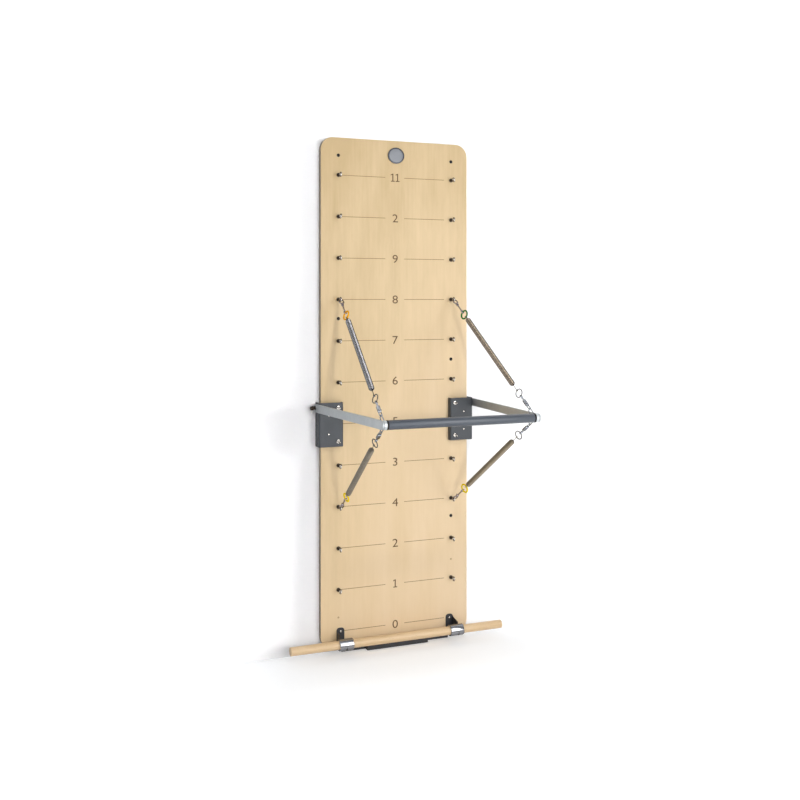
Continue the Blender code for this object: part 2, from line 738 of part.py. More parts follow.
def gate_front(grip):
    """Where the closed gate meets the jaw's tip."""
    return grip - JAW_HALF_WIDTH - JAW_TIP_LENGTH - SEAT_GAP


def hook_gate(name, side, grip, finish, chain):
    """A sliding bolt with a thumb knob. Its origin is on its line of travel, at the front end."""
    inward = -side
    half = GATE_HALF_WIDTH
    bolt = box_between((-half, -half, -GATE_LENGTH), (half, half, 0))
    knob_front = -GATE_KNOB_BACK
    knob_edges = sorted((0, inward * (half + GATE_KNOB_HEIGHT)))
    knob_half = GATE_KNOB_HALF_WIDTH
    low = (knob_edges[0], -knob_half, knob_front - GATE_KNOB_LENGTH)
    knob = box_between(low, (knob_edges[1], knob_half, knob_front))
    spot = (inward * JAW_HALF_WIDTH, 0, gate_front(grip))
    piece(f"hook_gate_{name}", joined(bolt, knob), finish, parent=chain, location=spot)


def coil_points(start, end):
    """Centre line of a spring: straight on the axis, out to the full coil, and in again."""
    first = start + COIL_WALL_LEAD
    last = end - COIL_BAR_LEAD
    steps = COIL_CURLS * COIL_POINTS_PER_CURL
    points = [Vector((0, 0, start)), Vector((0, 0, start + COIL_STRAIGHT_END))]
    flanks = [Vector((1, 0, 0))] * 2
    for step in range(1, steps):
        turns = step / COIL_POINTS_PER_CURL
        radius = COIL_RADIUS * min(1.0, turns, COIL_CURLS - turns)
        flank = Vector((math.cos(2 * math.pi * turns), math.sin(2 * math.pi * turns), 0))
        z = first + (last - first) * step / steps
        points.append(radius * flank + Vector((0, 0, z)))
        flanks.append(flank)
    points += [Vector((0, 0, end - COIL_STRAIGHT_END)), Vector((0, 0, end))]
    flanks += [Vector((1, 0, 0))] * 2
    return points, flanks


def least_gap(points):
    """Least distance between the wire's surfaces on points at least half a curl apart."""
    apart = COIL_POINTS_PER_CURL // 2
    gaps = []
    for k, point in enumerate(points):
        for other in points[k + apart:]:
            gaps.append((point - other).length - 2 * COIL_WIRE_RADIUS)
    return min(gaps)


def spring_chain(level, side_name, finishes):
    """Hook, ring, coil, ring and hook from one eyebolt to the bar."""
    side = SIDES[side_name]
    name = f"{level}_{side_name}"
    frame, length = chain_placement(level, side)
    chain = empty(f"chain_{name}", frame)
    roll = RING_ROLLS[level]
    wall_eye = wall_hook(name, roll, finishes["dark_steel"], chain)
    grip = length + LINK_WIRE_RADIUS + SEAT_GAP + JAW_WIRE_RADIUS
    bar_eye = bar_hook(name, side, grip, roll, finishes["chrome"], chain)
    hook_gate(name, side, grip, finishes["chrome"], chain)
    held = WALL_SWIVEL_RADIUS - WALL_SWIVEL_WIRE_RADIUS - SEAT_GAP - COLOUR_RING_WIRE_RADIUS
    colour_centre = wall_eye + held + COLOUR_RING_RADIUS
    colour = finishes[f"ring_{name}"]
    size = (COLOUR_RING_RADIUS, COLOUR_RING_WIRE_RADIUS)
    spring_ring(f"colour_ring_{name}", colour_centre, *size, roll, colour, chain)
    held = BAR_SWIVEL_RADIUS - BAR_SWIVEL_WIRE_RADIUS - SEAT_GAP - PLAIN_RING_WIRE_RADIUS
    plain_centre = bar_eye - held - PLAIN_RING_RADIUS
    size = (PLAIN_RING_RADIUS, PLAIN_RING_WIRE_RADIUS)
    spring_ring(f"plain_ring_{name}", plain_centre, *size, roll, finishes["chrome"], chain)
    start = colour_centre + COLOUR_RING_RADIUS + COLOUR_RING_WIRE_RADIUS + SEAT_GAP
    end = plain_centre - PLAIN_RING_RADIUS - PLAIN_RING_WIRE_RADIUS - SEAT_GAP
    points, flanks = coil_points(start, end)
    print(f"spring_{name}: least gap of the wire to itself {1000 * least_gap(points):.2f} mm")
    mesh = shape(swept(points, flanks, COIL_WIRE_RADIUS, WIRE_SIDES))
    piece(f"spring_{name}", mesh, finishes["spring_steel"], parent=chain)


# Foot dowel and base


def dowel(finish):
    """A round bar with broken edges, a little longer on the left."""
    profile = [
        (0, DOWEL_LEFT_END),
        (DOWEL_RADIUS - DOWEL_CHAMFER, DOWEL_LEFT_END),
        (DOWEL_RADIUS, DOWEL_LEFT_END + DOWEL_CHAMFER),
        (DOWEL_RADIUS, DOWEL_RIGHT_END - DOWEL_CHAMFER),
        (DOWEL_RADIUS - DOWEL_CHAMFER, DOWEL_RIGHT_END),
        (0, DOWEL_RIGHT_END),
    ]
    mesh = shape(turned(profile, TURNED_SIDES, along_x(1)))
    piece("dowel", mesh, finish, location=at(0, DOWEL_DEPTH, DOWEL_Z))


def dowel_clamp(name, side, finish):
    """A sleeve round the dowel."""
    half = CLAMP_WIDTH / 2
    edge = CLAMP_RADIUS - CLAMP_CHAMFER
    profile = [
        (CLAMP_INNER_RADIUS, -half),
        (edge, -half),
        (CLAMP_RADIUS, CLAMP_CHAMFER - half),
        (CLAMP_RADIUS, half - CLAMP_CHAMFER),
        (edge, half),
        (CLAMP_INNER_RADIUS, half),
    ]
    mesh = shape(turned(profile, TURNED_SIDES, along_x(1), closed=True))
    spot = at(side * CLAMP_X, DOWEL_DEPTH, DOWEL_Z)
    piece(f"dowel_clamp_{name}", mesh, finish, location=spot)


def dowel_bracket(name, side, finish):
    """A back plate with a cheek on its outer side that holds the clamp from behind."""
    back = BOARD_FACE + SEAT_GAP - DOWEL_DEPTH
    half = BRACKET_WIDTH / 2
    bend = BRACKET_TOP_RADIUS
    outline = [(-half, -BRACKET_DROP), (half, -BRACKET_DROP)]
    outline += arc((half - bend, BRACKET_RISE - bend), bend, 0, 90, BRACKET_CORNER_STEPS)
    outline += arc((bend - half, BRACKET_RISE - bend), bend, 90, 180, BRACKET_CORNER_STEPS)
    plate = shape(prism(outline, back, back + BRACKET_SHEET, lambda u, v, h: at(u, h, v)))
    cheek_outline = [
        (back + BRACKET_SHEET / 2, -BRACKET_DROP),
        (back + BRACKET_SHEET / 2, BRACKET_RISE - bend),
        (back + BRACKET_SHOULDER_DEPTH, BRACKET_RISE - bend),
        (back + BRACKET_FLANGE_REACH, BRACKET_FLANGE_RISE),
        (back + BRACKET_FLANGE_REACH, -BRACKET_DROP),
    ]
    edge = half - BRACKET_SHEET if side > 0 else -half
    end = edge + BRACKET_SHEET
    cheek = shape(prism(cheek_outline, edge, end, lambda u, v, h: at(h, u, v)))
    bore_radius = CLAMP_RADIUS + SEAT_GAP
    bore_end = half + DRILL_OVERRUN
    bore_profile = [(0, -bore_end), (bore_radius, -bore_end), (bore_radius, bore_end), (0, bore_end)]
    bore = shape(turned(bore_profile, TURNED_SIDES, along_x(1)))
    mesh = cut(joined(plate, cheek), bore)
    spot = at(side * CLAMP_X, DOWEL_DEPTH, DOWEL_Z)
    piece(f"dowel_bracket_{name}", mesh, finish, location=spot)


def base_foot(finish):
    """A rail under the board with a block that stands out in front."""
    rail = BASE_WIDTH / 2
    foot = FOOT_WIDTH / 2
    front = BOARD_FACE + FOOT_REACH
    outline = [
        (-rail, SEAT_GAP),
        (rail, SEAT_GAP),
        (rail, BOARD_FACE),
        (foot, BOARD_FACE),
        (foot, front),
        (-foot, front),
        (-foot, BOARD_FACE),
        (-rail, BOARD_FACE),
    ]
    top = -BOARD_HEIGHT / 2 - SEAT_GAP
    mesh = shape(prism(outline, top - BASE_HEIGHT, top, lambda u, v, h: at(u, v, h)))
    piece("base_foot", mesh, finish)


def make_finishes():
    """Colours as seen, with one finish for each kind of surface."""
    return {
        "birch": material("birch", (0.76, 0.59, 0.36), 0.45, 0.0),
        "beech": material("beech", (0.68, 0.47, 0.28), 0.45, 0.0),
        "slate_paint": material("slate_paint", (0.09, 0.095, 0.11), 0.45, 0.2),
        "bar_paint": material("bar_paint", (0.11, 0.125, 0.16), 0.35, 0.3),
        "black_paint": material("black_paint", (0.03, 0.03, 0.03), 0.5, 0.1),
        "aluminium": material("aluminium", (0.35, 0.37, 0.37), 0.45, 0.8),
        "dark_steel": material("dark_steel", (0.10, 0.09, 0.07), 0.4, 0.8),
        "spring_steel": material("spring_steel", (0.30, 0.28, 0.25), 0.3, 0.9),
        "chrome": material("chrome", (0.62, 0.62, 0.63), 0.15, 1.0),
        "collar_silver": material("collar_silver", (0.70, 0.73, 0.72), 0.3, 0.8),
        "ring_upper_left": material("ring_orange", (0.75, 0.35, 0.03), 0.4, 0.0),
        "ring_upper_right": material("ring_green", (0.03, 0.20, 0.05), 0.4, 0.0),
        "ring_lower_left": material("ring_yellow", (0.80, 0.55, 0.03), 0.4, 0.0),
        "ring_lower_right": material("ring_yellow_right", (0.80, 0.55, 0.03), 0.4, 0.0),
    }


def main():
    """Builds every piece. The bar's pieces hang on a guide at the pivot."""
    clear_objects()
    finishes = make_finishes()
    board(finishes["birch"])
    eyebolts(finishes["dark_steel"])
    swing = empty("bar_swing", Matrix.Translation(at(0, PIVOT_DEPTH, PIVOT_Z)))
    for name, side in SIDES.items():
        arm_plate(name, side, finishes["slate_paint"])
        pivot_bolt(name, side, finishes["dark_steel"])
        arm(name, side, finishes["aluminium"], swing)
        end_cap(name, side, finishes["collar_silver"], swing)
        dowel_clamp(name, side, finishes["chrome"])
        dowel_bracket(name, side, finishes["black_paint"])
        for level in SPRING_ROWS:
            spring_chain(level, name, finishes)
    push_tube(finishes["bar_paint"], swing)
    dowel(finishes["beech"])
    base_foot(finishes["black_paint"])


main()
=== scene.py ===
# %% [markdown]
# # A wall springboard, dressed for its photograph
# The solids of this exercise board come from its CAD model: a plywood board with two columns of
# eyebolts, a push bar on two arms, four springs on snap hooks and a foot dowel.
# They are exact in size but plain. This lesson keeps them as the frame, gives every one a finish,
# and builds the small metal pieces again in smooth form on the same measures.

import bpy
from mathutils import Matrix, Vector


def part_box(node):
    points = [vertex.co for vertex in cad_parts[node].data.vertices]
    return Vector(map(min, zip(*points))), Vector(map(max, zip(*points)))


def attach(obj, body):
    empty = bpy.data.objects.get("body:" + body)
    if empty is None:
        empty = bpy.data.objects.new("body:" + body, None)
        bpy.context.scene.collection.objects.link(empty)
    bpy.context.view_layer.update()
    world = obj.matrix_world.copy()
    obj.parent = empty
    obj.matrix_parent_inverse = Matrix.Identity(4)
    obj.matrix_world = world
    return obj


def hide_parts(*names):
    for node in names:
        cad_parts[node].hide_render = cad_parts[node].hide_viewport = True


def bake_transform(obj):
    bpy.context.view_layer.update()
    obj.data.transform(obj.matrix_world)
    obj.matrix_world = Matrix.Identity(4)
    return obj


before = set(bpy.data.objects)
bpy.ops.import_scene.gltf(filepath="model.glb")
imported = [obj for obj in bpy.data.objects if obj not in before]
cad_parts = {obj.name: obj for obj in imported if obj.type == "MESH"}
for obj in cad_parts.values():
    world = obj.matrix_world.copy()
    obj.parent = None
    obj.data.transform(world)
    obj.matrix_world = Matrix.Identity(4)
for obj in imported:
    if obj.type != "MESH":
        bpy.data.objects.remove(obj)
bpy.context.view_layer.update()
print("nodes:", len(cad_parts))

# %% Modules
import math

import bmesh
import bpy
from mathutils import Matrix, Vector

# %% [markdown]
# ## Measures
# X runs to the right, Y into the wall and Z up, in metres. What a box can't tell, such as the
# thickness of a wire, is written here once, with the CAD model's own values.

# %% Measures read from the frame
board_low, board_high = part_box("board")
tube_low, tube_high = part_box("push_tube")
bar_axis = (tube_low + tube_high) / 2
TUBE_RADIUS = (tube_high.z - tube_low.z) / 2
BOARD_FACE = board_low.y
SIDES = {"left": -1, "right": 1}
SPRING_ROWS = {"upper": 8, "lower": 3}
EYEBOLT_ROWS = (1, 2, 3, 4, 6, 7, 8, 9, 10, 11)
PLATE_ROW = 5
print("board", [round(v, 4) for v in board_high - board_low], "tube radius", round(TUBE_RADIUS, 4))

# %% Rows of eyebolts
EYE_MEAN_RADIUS = 0.0076
EYE_WIRE_RADIUS = 0.0025


def eye_centre(side_name, row):
    """Centre of an eyebolt's eye, whose front end is the box's nearest point."""
    low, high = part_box(f"eyebolt_{side_name}_{row:02d}")
    middle = (low + high) / 2
    return Vector((middle.x, low.y + EYE_MEAN_RADIUS + EYE_WIRE_RADIUS, middle.z))


FIXING_X = eye_centre("right", 1).x
first_row = eye_centre("left", EYEBOLT_ROWS[0])
last_row = eye_centre("left", EYEBOLT_ROWS[-1])
ROW_PITCH = (last_row.z - first_row.z) / (EYEBOLT_ROWS[-1] - EYEBOLT_ROWS[0])


def row_height(row):
    """Height of a row of fixings. Row 0 is the lowest."""
    return first_row.z + (row - EYEBOLT_ROWS[0]) * ROW_PITCH


print("rows", round(ROW_PITCH, 4), "apart, fixings at", round(FIXING_X, 4))

# %% [markdown]
# ## Writing finishes as sums
# Blender's materials are graphs of nodes, and a graph of sums is slow to read. One small class
# wraps an output socket and gives it Python's operators, so that `1 - mask` makes its own Math
# node. Everything that isn't a sum comes from one method, which takes the kind of node, its
# settings and the values or links of its sockets.

# %% A socket that can be calculated with
class Value:
    """An output socket in a finish. Operators on it add Math nodes."""

    def __init__(self, finish, socket):
        self.finish = finish
        self.socket = socket

    def math(self, operation, *others):
        return self.finish.add("Math", {"operation": operation}, dict(enumerate((self, *others))))

    def __add__(self, other):
        return self.math("ADD", other)

    def __sub__(self, other):
        return self.math("SUBTRACT", other)

    def __rsub__(self, other):
        return self.finish.add("Math", {"operation": "SUBTRACT"}, {0: other, 1: self})

    def __mul__(self, other):
        return self.math("MULTIPLY", other)

    def __truediv__(self, other):
        return self.math("DIVIDE", other)

    def __gt__(self, other):
        return self.math("GREATER_THAN", other)

    def __lt__(self, other):
        return self.math("LESS_THAN", other)

    def __abs__(self):
        return self.math("ABSOLUTE")

    __radd__ = __add__
    __rmul__ = __mul__


# %% A finish with one method for nodes
class Finish:
    """A material whose nodes are added one by one."""

    def __init__(self, name):
        self.material = bpy.data.materials.new(name)
        self.material.use_nodes = True
        self.tree = self.material.node_tree
        self.tree.nodes.clear()
        self.output = self.tree.nodes.new("ShaderNodeOutputMaterial")

    def add(self, kind, settings=None, inputs=None, output=0):
        """Adds a node, sets it up, then fills or links its sockets."""
        node = self.tree.nodes.new("ShaderNode" + kind)
        for name, value in (settings or {}).items():
            if name == "stops":
                while len(node.color_ramp.elements) < len(value):
                    node.color_ramp.elements.new(0.5)
                for element, (place, color) in zip(node.color_ramp.elements, value):
                    element.position = place
                    element.color = color
            else:
                setattr(node, name, value)
        for name, value in (inputs or {}).items():
            if isinstance(value, Value):
                self.tree.links.new(value.socket, node.inputs[name])
            else:
                node.inputs[name].default_value = value
        return Value(self, node.outputs[output])

    def done(self, shader):
        """Makes this shader the finish's surface."""
        self.tree.links.new(shader.socket, self.output.inputs["Surface"])
        return self.material


# %% Colours as they are seen
def seen(red, green, blue):
    """A colour as the eye reads it from 0 to 255, turned into the linear values of a shader."""
    linear = []
    for channel in (red, green, blue):
        share = channel / 255
        linear.append(share / 12.92 if share <= 0.04045 else ((share + 0.055) / 1.055) ** 2.4)
    return (*linear, 1.0)


print("middle grey", [round(v, 3) for v in seen(128, 128, 128)])

# %% Helpers that every finish uses
def place_of(finish, stretch=(1, 1, 1)):
    """Coordinates on the piece, in metres, stretched by a scale for each direction."""
    coordinates = finish.add("TexCoord", output="Object")
    return finish.add("Mapping", None, {"Vector": coordinates, "Scale": stretch})


def axes_of(finish):
    """Where a point of the piece lies: sideways, in depth and in height."""
    place = finish.add("TexCoord", output="Object")
    return [finish.add("SeparateXYZ", None, {0: place}, output=k) for k in range(3)]


def noise(finish, scale, stretch=(1, 1, 1), detail=3.0, roughness=0.5):
    """Soft noise from 0 to 1."""
    return finish.add("TexNoise", None, {"Vector": place_of(finish, stretch), "Scale": scale,
                                         "Detail": detail, "Roughness": roughness})


def blend_colors(finish, share, first, second):
    """Mixes two colours by a share."""
    return finish.add("Mix", {"data_type": "RGBA"}, {0: share, 6: first, 7: second}, output=2)


def bumped(finish, height, strength, distance):
    """A normal that is tilted by a height."""
    return finish.add("Bump", None, {"Height": height, "Strength": strength, "Distance": distance})


def surface(finish, sockets):
    """Ends a finish with one shader that has these sockets."""
    return finish.done(finish.add("BsdfPrincipled", None, sockets))

# %% [markdown]
# ## Lacquered birch plywood
# The board is birch plywood under a satin lacquer. Its face shows long pale streaks that run up
# the board, with slow broad changes of tone, and its edge shows the brown and pale layers. Light
# is painted in as well: the face is darker towards the top and lighter to the right, and the
# edge's layers are darkened as painted shade.
# A picture could carry the grain, but noise stretched along Z needs no picture and never repeats.
# The layers follow the depth of a point, so they sit right all round the rounded corners.

# %% Birch
PLY_LAYERS = 13
PAINTED_LIGHT_FADES = {"sideways": 0.15, "upwards": 0.32}
VENEER_STOPS = [(0.05, seen(203, 175, 127)), (0.34, seen(222, 195, 150)),
                (0.56, seen(233, 205, 162)), (0.78, seen(239, 212, 173)),
                (0.98, seen(242, 216, 181))]


def birch_finish():
    """Pale face veneer, layered edge."""
    finish = Finish("lacquered_birch")
    streaks = noise(finish, 120.0, (1, 1, 0.035), 5.0, 0.6)
    broad = noise(finish, 9.0, (1, 1, 0.16), 2.0)
    waves = noise(finish, 26.0, (1, 1, 0.22), 4.0, 0.65)
    patches = noise(finish, 5.0, (1, 1, 0.4), 2.0)
    sideways, depth, height = axes_of(finish)
    # Painted light: the veneer is made lighter towards the right and darker towards the top.
    painted_light_slope = sideways * (PAINTED_LIGHT_FADES["sideways"] / board_high.x)
    painted_light_slope -= height * (PAINTED_LIGHT_FADES["upwards"] / board_high.z)
    figure = streaks * 0.2 + waves * 0.3 + broad * 0.42 + patches * 0.32 - 0.14 + painted_light_slope
    veneer = finish.add("ValToRGB", {"stops": VENEER_STOPS}, {"Fac": figure})
    share = depth / BOARD_FACE
    layer = (share * PLY_LAYERS).math("FRACT")
    pair = (share * (PLY_LAYERS / 2)).math("FRACT")
    glue = abs(layer - 0.5) > 0.42
    # The ply colours are the layers' own, darkened further as painted shade of the edge.
    ply = blend_colors(finish, pair > 0.5, seen(166, 150, 128), seen(132, 115, 94))
    ply = blend_colors(finish, glue * 0.7, ply, seen(88, 74, 60))
    edge = (share > 0.02) * (share < 0.97)
    relief = streaks * 0.6 + edge * layer * 0.4
    return surface(finish, {
        "Base Color": blend_colors(finish, edge, veneer, ply),
        "Roughness": streaks * 0.12 + 0.40,
        "Specular IOR Level": 0.3,
        "Coat Weight": 0.1,
        "Coat Roughness": 0.3,
        "Normal": bumped(finish, relief, 0.12, 0.0004),
    })

# %% [markdown]
# ## Beech
# The foot dowel is turned beech: pinker than birch, with the short dark flecks that give beech
# away, all running along the dowel. The flecks are cells stretched along X, kept only where the
# noise is strong.

# %% Beech
dowel_low, dowel_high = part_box("dowel")
dowel_centre = (dowel_low + dowel_high) / 2
DOWEL_HALF = (dowel_high.x - dowel_low.x) / 2
END_GRAIN_DEPTH = 0.0015
BEECH_STOPS = [(0.2, seen(212, 178, 132)), (0.5, seen(230, 199, 156)), (0.8, seen(240, 212, 173))]


def beech_finish():
    """Grain and flecks along X, darker end grain."""
    finish = Finish("turned_beech")
    grain = noise(finish, 210.0, (0.06, 1, 1), 4.0, 0.6)
    broad = noise(finish, 28.0, (0.12, 1, 1), 2.0)
    flecks = finish.add("TexVoronoi", {"feature": "F1"}, {
        "Vector": place_of(finish, (0.11, 1, 1)), "Scale": 620.0, "Randomness": 1.0})
    fleck = (flecks < 0.2) * (grain > 0.5)
    color = finish.add("ValToRGB", {"stops": BEECH_STOPS}, {"Fac": grain * 0.5 + broad * 0.5})
    color = blend_colors(finish, fleck * 0.35, color, seen(168, 122, 80))
    from_middle = abs(axes_of(finish)[0] - dowel_centre.x)
    end_grain = from_middle > DOWEL_HALF - END_GRAIN_DEPTH
    return surface(finish, {
        "Base Color": blend_colors(finish, end_grain * 0.3, color, seen(150, 116, 78)),
        "Roughness": grain * 0.15 + 0.38,
        "Normal": bumped(finish, grain - fleck * 0.5, 0.15, 0.0003),
    })

# %% [markdown]
# ## Paint
# Plates and bar are powder coated in slate grey, the brackets and the base in black. Powder
# paint has a fine skin like orange peel. It is a little lighter and shinier where hands and
# hooks have rubbed it. One function makes all four, since only colour and gloss change.

# %% Powder paint
def paint_finish(name, color, worn, roughness, peel):
    """Powder paint with orange peel, cloudy wear and a few light scuffs."""
    finish = Finish(name)
    skin = noise(finish, 900.0, detail=2.0)
    cloud = noise(finish, 14.0)
    scuffs = noise(finish, 160.0, (1, 1, 0.25), 5.0, 0.7)
    worn_share = (cloud * 0.5 + (scuffs > 0.66) * 0.35) * 0.6
    return surface(finish, {
        "Base Color": blend_colors(finish, worn_share, seen(*color), seen(*worn)),
        "Roughness": roughness + cloud * 0.14 - 0.05,
        "Normal": bumped(finish, skin, peel, 0.0002),
    })

# %% [markdown]
# ## Bare and plated metal
# The arms are satin aluminium, brushed along their length. Springs, hooks and rings are steel,
# some bright, some dark. All are one function: a base colour with a slow stain over it, fine
# scratches that run one way, and a roughness that follows both. Thin bright wire is drawn by its
# dark edges, so a layer weight darkens a finish where its surface turns away: a painted shade
# that stands in for the dark room mirrored at those edges.

# %% Metal
def metal_finish(name, bright, dull, roughness, rim=0.0, stretch=(1, 1, 1), scratch=0.1,
                 metallic=1.0):
    """Metal with stains and one-way scratches, and painted shade towards grazing edges."""
    finish = Finish(name)
    lines = noise(finish, 700.0, stretch, 3.0, 0.6)
    stain = noise(finish, 45.0, detail=4.0, roughness=0.6)
    color = blend_colors(finish, stain * 0.6 + lines * 0.4, seen(*bright), seen(*dull))
    if rim:
        # Painted shade: the rim share darkens the colour where the surface turns from view, in
        # place of a dark mirrored room.
        painted_edge_shade = finish.add("LayerWeight", None, {"Blend": 0.5}, output=1)
        color = blend_colors(finish, painted_edge_shade * rim, color, seen(26, 25, 26))
    return surface(finish, {
        "Base Color": color,
        "Metallic": metallic,
        "Roughness": roughness + lines * 0.1 + stain * 0.08 - 0.08,
        "Normal": bumped(finish, lines, scratch, 0.0001),
    })

# %% [markdown]
# ## Coloured rings, numerals and rubber
# The rings are dipped in coloured plastic so that a spring's strength can be told from afar.
# The numerals are burnt into the veneer, so they are brown and matt, with a slightly uneven edge
# of tone.

# %% Plastic and burnt wood
def plastic_finish(name, color, deep):
    """Dipped plastic with a cloudy depth and small dents."""
    finish = Finish(name)
    cloud = noise(finish, 120.0)
    dents = noise(finish, 520.0, detail=2.0)
    return surface(finish, {
        "Base Color": blend_colors(finish, cloud, seen(*color), seen(*deep)),
        "Roughness": cloud * 0.15 + 0.35,
        "Normal": bumped(finish, dents, 0.15, 0.0003),
        "IOR": 1.25,
    })


def burnt_finish(name, light, dark):
    """Matt brown of scorched veneer."""
    finish = Finish(name)
    grain = noise(finish, 300.0, (1, 1, 0.1))
    return surface(finish, {
        "Base Color": blend_colors(finish, grain, seen(*light), seen(*dark)),
        "Roughness": grain * 0.2 + 0.6,
        "Normal": bumped(finish, grain, 0.3, 0.0002),
    })


# %% All finishes by name
FINISH = {
    "birch": birch_finish(),
    "beech": beech_finish(),
    "slate": paint_finish("slate_paint", (56, 60, 65), (72, 77, 83), 0.48, 0.18),
    "bar": paint_finish("bar_paint", (74, 80, 89), (90, 96, 106), 0.36, 0.08),
    "black": paint_finish("black_paint", (40, 40, 43), (64, 65, 70), 0.5, 0.22),
    "dark_hole": paint_finish("dark_socket", (26, 22, 20), (40, 35, 31), 0.75, 0.3),
    "aluminium": metal_finish("satin_aluminium", (184, 188, 190), (158, 163, 166), 0.42,
                              stretch=(1, 0.03, 0.03), scratch=0.12, metallic=0.5),
    # The warm tint of bright_steel and dark_steel is partly a painted reflection of the birch
    # board.
    "steel": metal_finish("bright_steel", (236, 231, 224), (196, 190, 182), 0.16, 1.4),
    "chain": metal_finish("chain_steel", (222, 226, 232), (164, 168, 176), 0.16, 1.4),
    "thin_ring": metal_finish("ring_steel", (126, 122, 120), (84, 80, 78), 0.24, 1.2),
    "dark_steel": metal_finish("dark_steel", (84, 74, 63), (46, 40, 34), 0.3, 0.7),
    "purple_steel": metal_finish("blued_steel", (214, 206, 212), (148, 140, 148), 0.2, 1.0),
    "chrome": metal_finish("chrome", (190, 191, 196), (150, 152, 158), 0.08, 1.0, scratch=0.03),
    "collar": metal_finish("collar_silver", (218, 224, 226), (194, 200, 202), 0.3, metallic=0.5),
    "badge": metal_finish("badge_grey", (130, 133, 138), (110, 113, 119), 0.45, metallic=0.3),
    "badge_rim": metal_finish("badge_rim", (84, 86, 92), (58, 60, 66), 0.35, metallic=0.5),
    "plug": burnt_finish("veneer_plug", (206, 176, 134), (184, 150, 108)),
    "burnt": burnt_finish("burnt_numerals", (114, 82, 48), (86, 60, 34)),
    "line": burnt_finish("burnt_lines", (158, 118, 72), (130, 94, 54)),
    "ring_upper_left": plastic_finish("ring_orange", (250, 184, 0), (242, 156, 0)),
    "ring_upper_right": plastic_finish("ring_green", (2, 122, 36), (0, 88, 24)),
    "ring_lower_left": plastic_finish("ring_yellow", (255, 228, 0), (248, 206, 0)),
    "ring_lower_right": plastic_finish("ring_yellow_pale", (255, 232, 0), (248, 212, 0)),
    # The warm and tan tints of the springs are partly a painted reflection of the birch board.
    "spring_upper_left": metal_finish("spring_polished", (212, 211, 214), (174, 172, 176),
                                      0.2, 2.6),
    "spring_upper_right": metal_finish("spring_warm", (200, 184, 165), (152, 137, 120), 0.22, 1.7),
    "spring_lower_left": metal_finish("spring_satin", (156, 148, 135), (114, 106, 95), 0.3, 0.8),
    "spring_lower_right": metal_finish("spring_tan", (172, 160, 138), (132, 120, 100), 0.3, 0.8),
}
print("finishes:", len(FINISH))

# %% [markdown]
# ## Shapes
# Almost everything here is turned on a lathe, bent from wire or cut from sheet. So three helpers
# do the work: `turned` spins a profile, `bent_wire` carries a round section along a path, and
# `cut_sheet` pushes an outline through a thickness. Rods, pipes and hoops are short names for
# their plainest uses. Corners of profiles and outlines are eased first, because no real edge is
# perfectly sharp. Parts of one piece are then united by a boolean, so that a hook is one skin and
# not a heap of overlapping tubes.

# %% Points
X_AXIS, Y_AXIS, Z_AXIS = Vector((1, 0, 0)), Vector((0, 1, 0)), Vector((0, 0, 1))


def arc(centre, radius, start, end, steps):
    """Points on a circle, angles in degrees, both ends included."""
    points = []
    for step in range(steps + 1):
        angle = math.radians(start + (end - start) * step / steps)
        points.append((centre[0] + radius * math.cos(angle), centre[1] + radius * math.sin(angle)))
    return points


def circle(centre, radius, sides):
    """Points all round a circle. Six of them make a hexagon."""
    return arc(centre, radius, 0, 360, sides)[:-1]


def around(sides):
    """Even angles round a circle."""
    return [2 * math.pi * k / sides for k in range(sides)]


def stepped(*drums):
    """Profile points of drums, each given by its radius and the heights of its rims."""
    return [(radius, height) for radius, *heights in drums for height in heights]


def box_outline(u_edges, v_edges):
    """The corners of a flat box from its edges in u and in v."""
    (left, right), (low, high) = u_edges, v_edges
    return [(left, low), (right, low), (right, high), (left, high)]


def eased(points, radius, steps=3, closed=False):
    """Rounds the corners of a flat line of points."""
    count = len(points)
    line = []
    for k, (u, v) in enumerate(points):
        if not closed and k in (0, count - 1):
            line.append((u, v))
            continue
        corner = Vector((u, v))
        before = Vector(points[k - 1]) - corner
        after = Vector(points[(k + 1) % count]) - corner
        reach = min(radius, before.length * 0.45, after.length * 0.45)
        start = corner + before.normalized() * reach
        end = corner + after.normalized() * reach
        for step in range(steps + 1):
            t = step / steps
            point = start * (1 - t) ** 2 + corner * 2 * t * (1 - t) + end * t ** 2
            line.append((point.x, point.y))
    return line


# %% Solids from points
def mesh_of(bm, name="shape"):
    """Ends a bmesh in a mesh."""
    mesh = bpy.data.meshes.new(name)
    bm.to_mesh(mesh)
    bm.free()
    return mesh


def smoothed(mesh, sharp=35):
    """Smooth shading, with a crease where faces meet at more than this many degrees."""
    mesh.shade_smooth()
    mesh.set_sharp_from_angle(angle=math.radians(sharp))
    return mesh


def closed_mesh(bm, sharp=35):
    """Turns a bmesh into a smooth mesh whose faces point out."""
    bmesh.ops.recalc_face_normals(bm, faces=bm.faces)
    return smoothed(mesh_of(bm), sharp)


def skin_over(bm, rings, sides, closed):
    """Adds faces from each ring of corners to the next. A ring can be a single point."""
    pairs = list(zip(rings, rings[1:]))
    if closed:
        pairs.append((rings[-1], rings[0]))
    for first, second in pairs:
        for k in range(sides):
            after = (k + 1) % sides
            corners = [first[k % len(first)], first[after % len(first)],
                       second[after % len(second)], second[k % len(second)]]
            bm.faces.new(list(dict.fromkeys(corners)))


def turned(profile, sides=48, closed=False):
    """Spins (radius, height) points about Z."""
    bm = bmesh.new()
    rings = []
    for radius, height in profile:
        angles = around(sides) if radius else [0]
        rings.append([bm.verts.new((radius * math.cos(a), radius * math.sin(a), height))
                      for a in angles])
    skin_over(bm, rings, sides, closed)
    return closed_mesh(bm)


def rod(radius, low, high, edge, sides, steps=3):
    """A turned rod between two heights, with eased rims."""
    return turned(eased(stepped((0, low), (radius, low, high), (0, high)), edge, steps), sides)


def pipe(inner, outer, low, high, edge, steps):
    """A turned pipe between two heights, with eased rims."""
    profile = stepped((inner, low), (outer, low, high), (inner, high))
    return turned(eased(profile, edge, steps, closed=True), 72, closed=True)


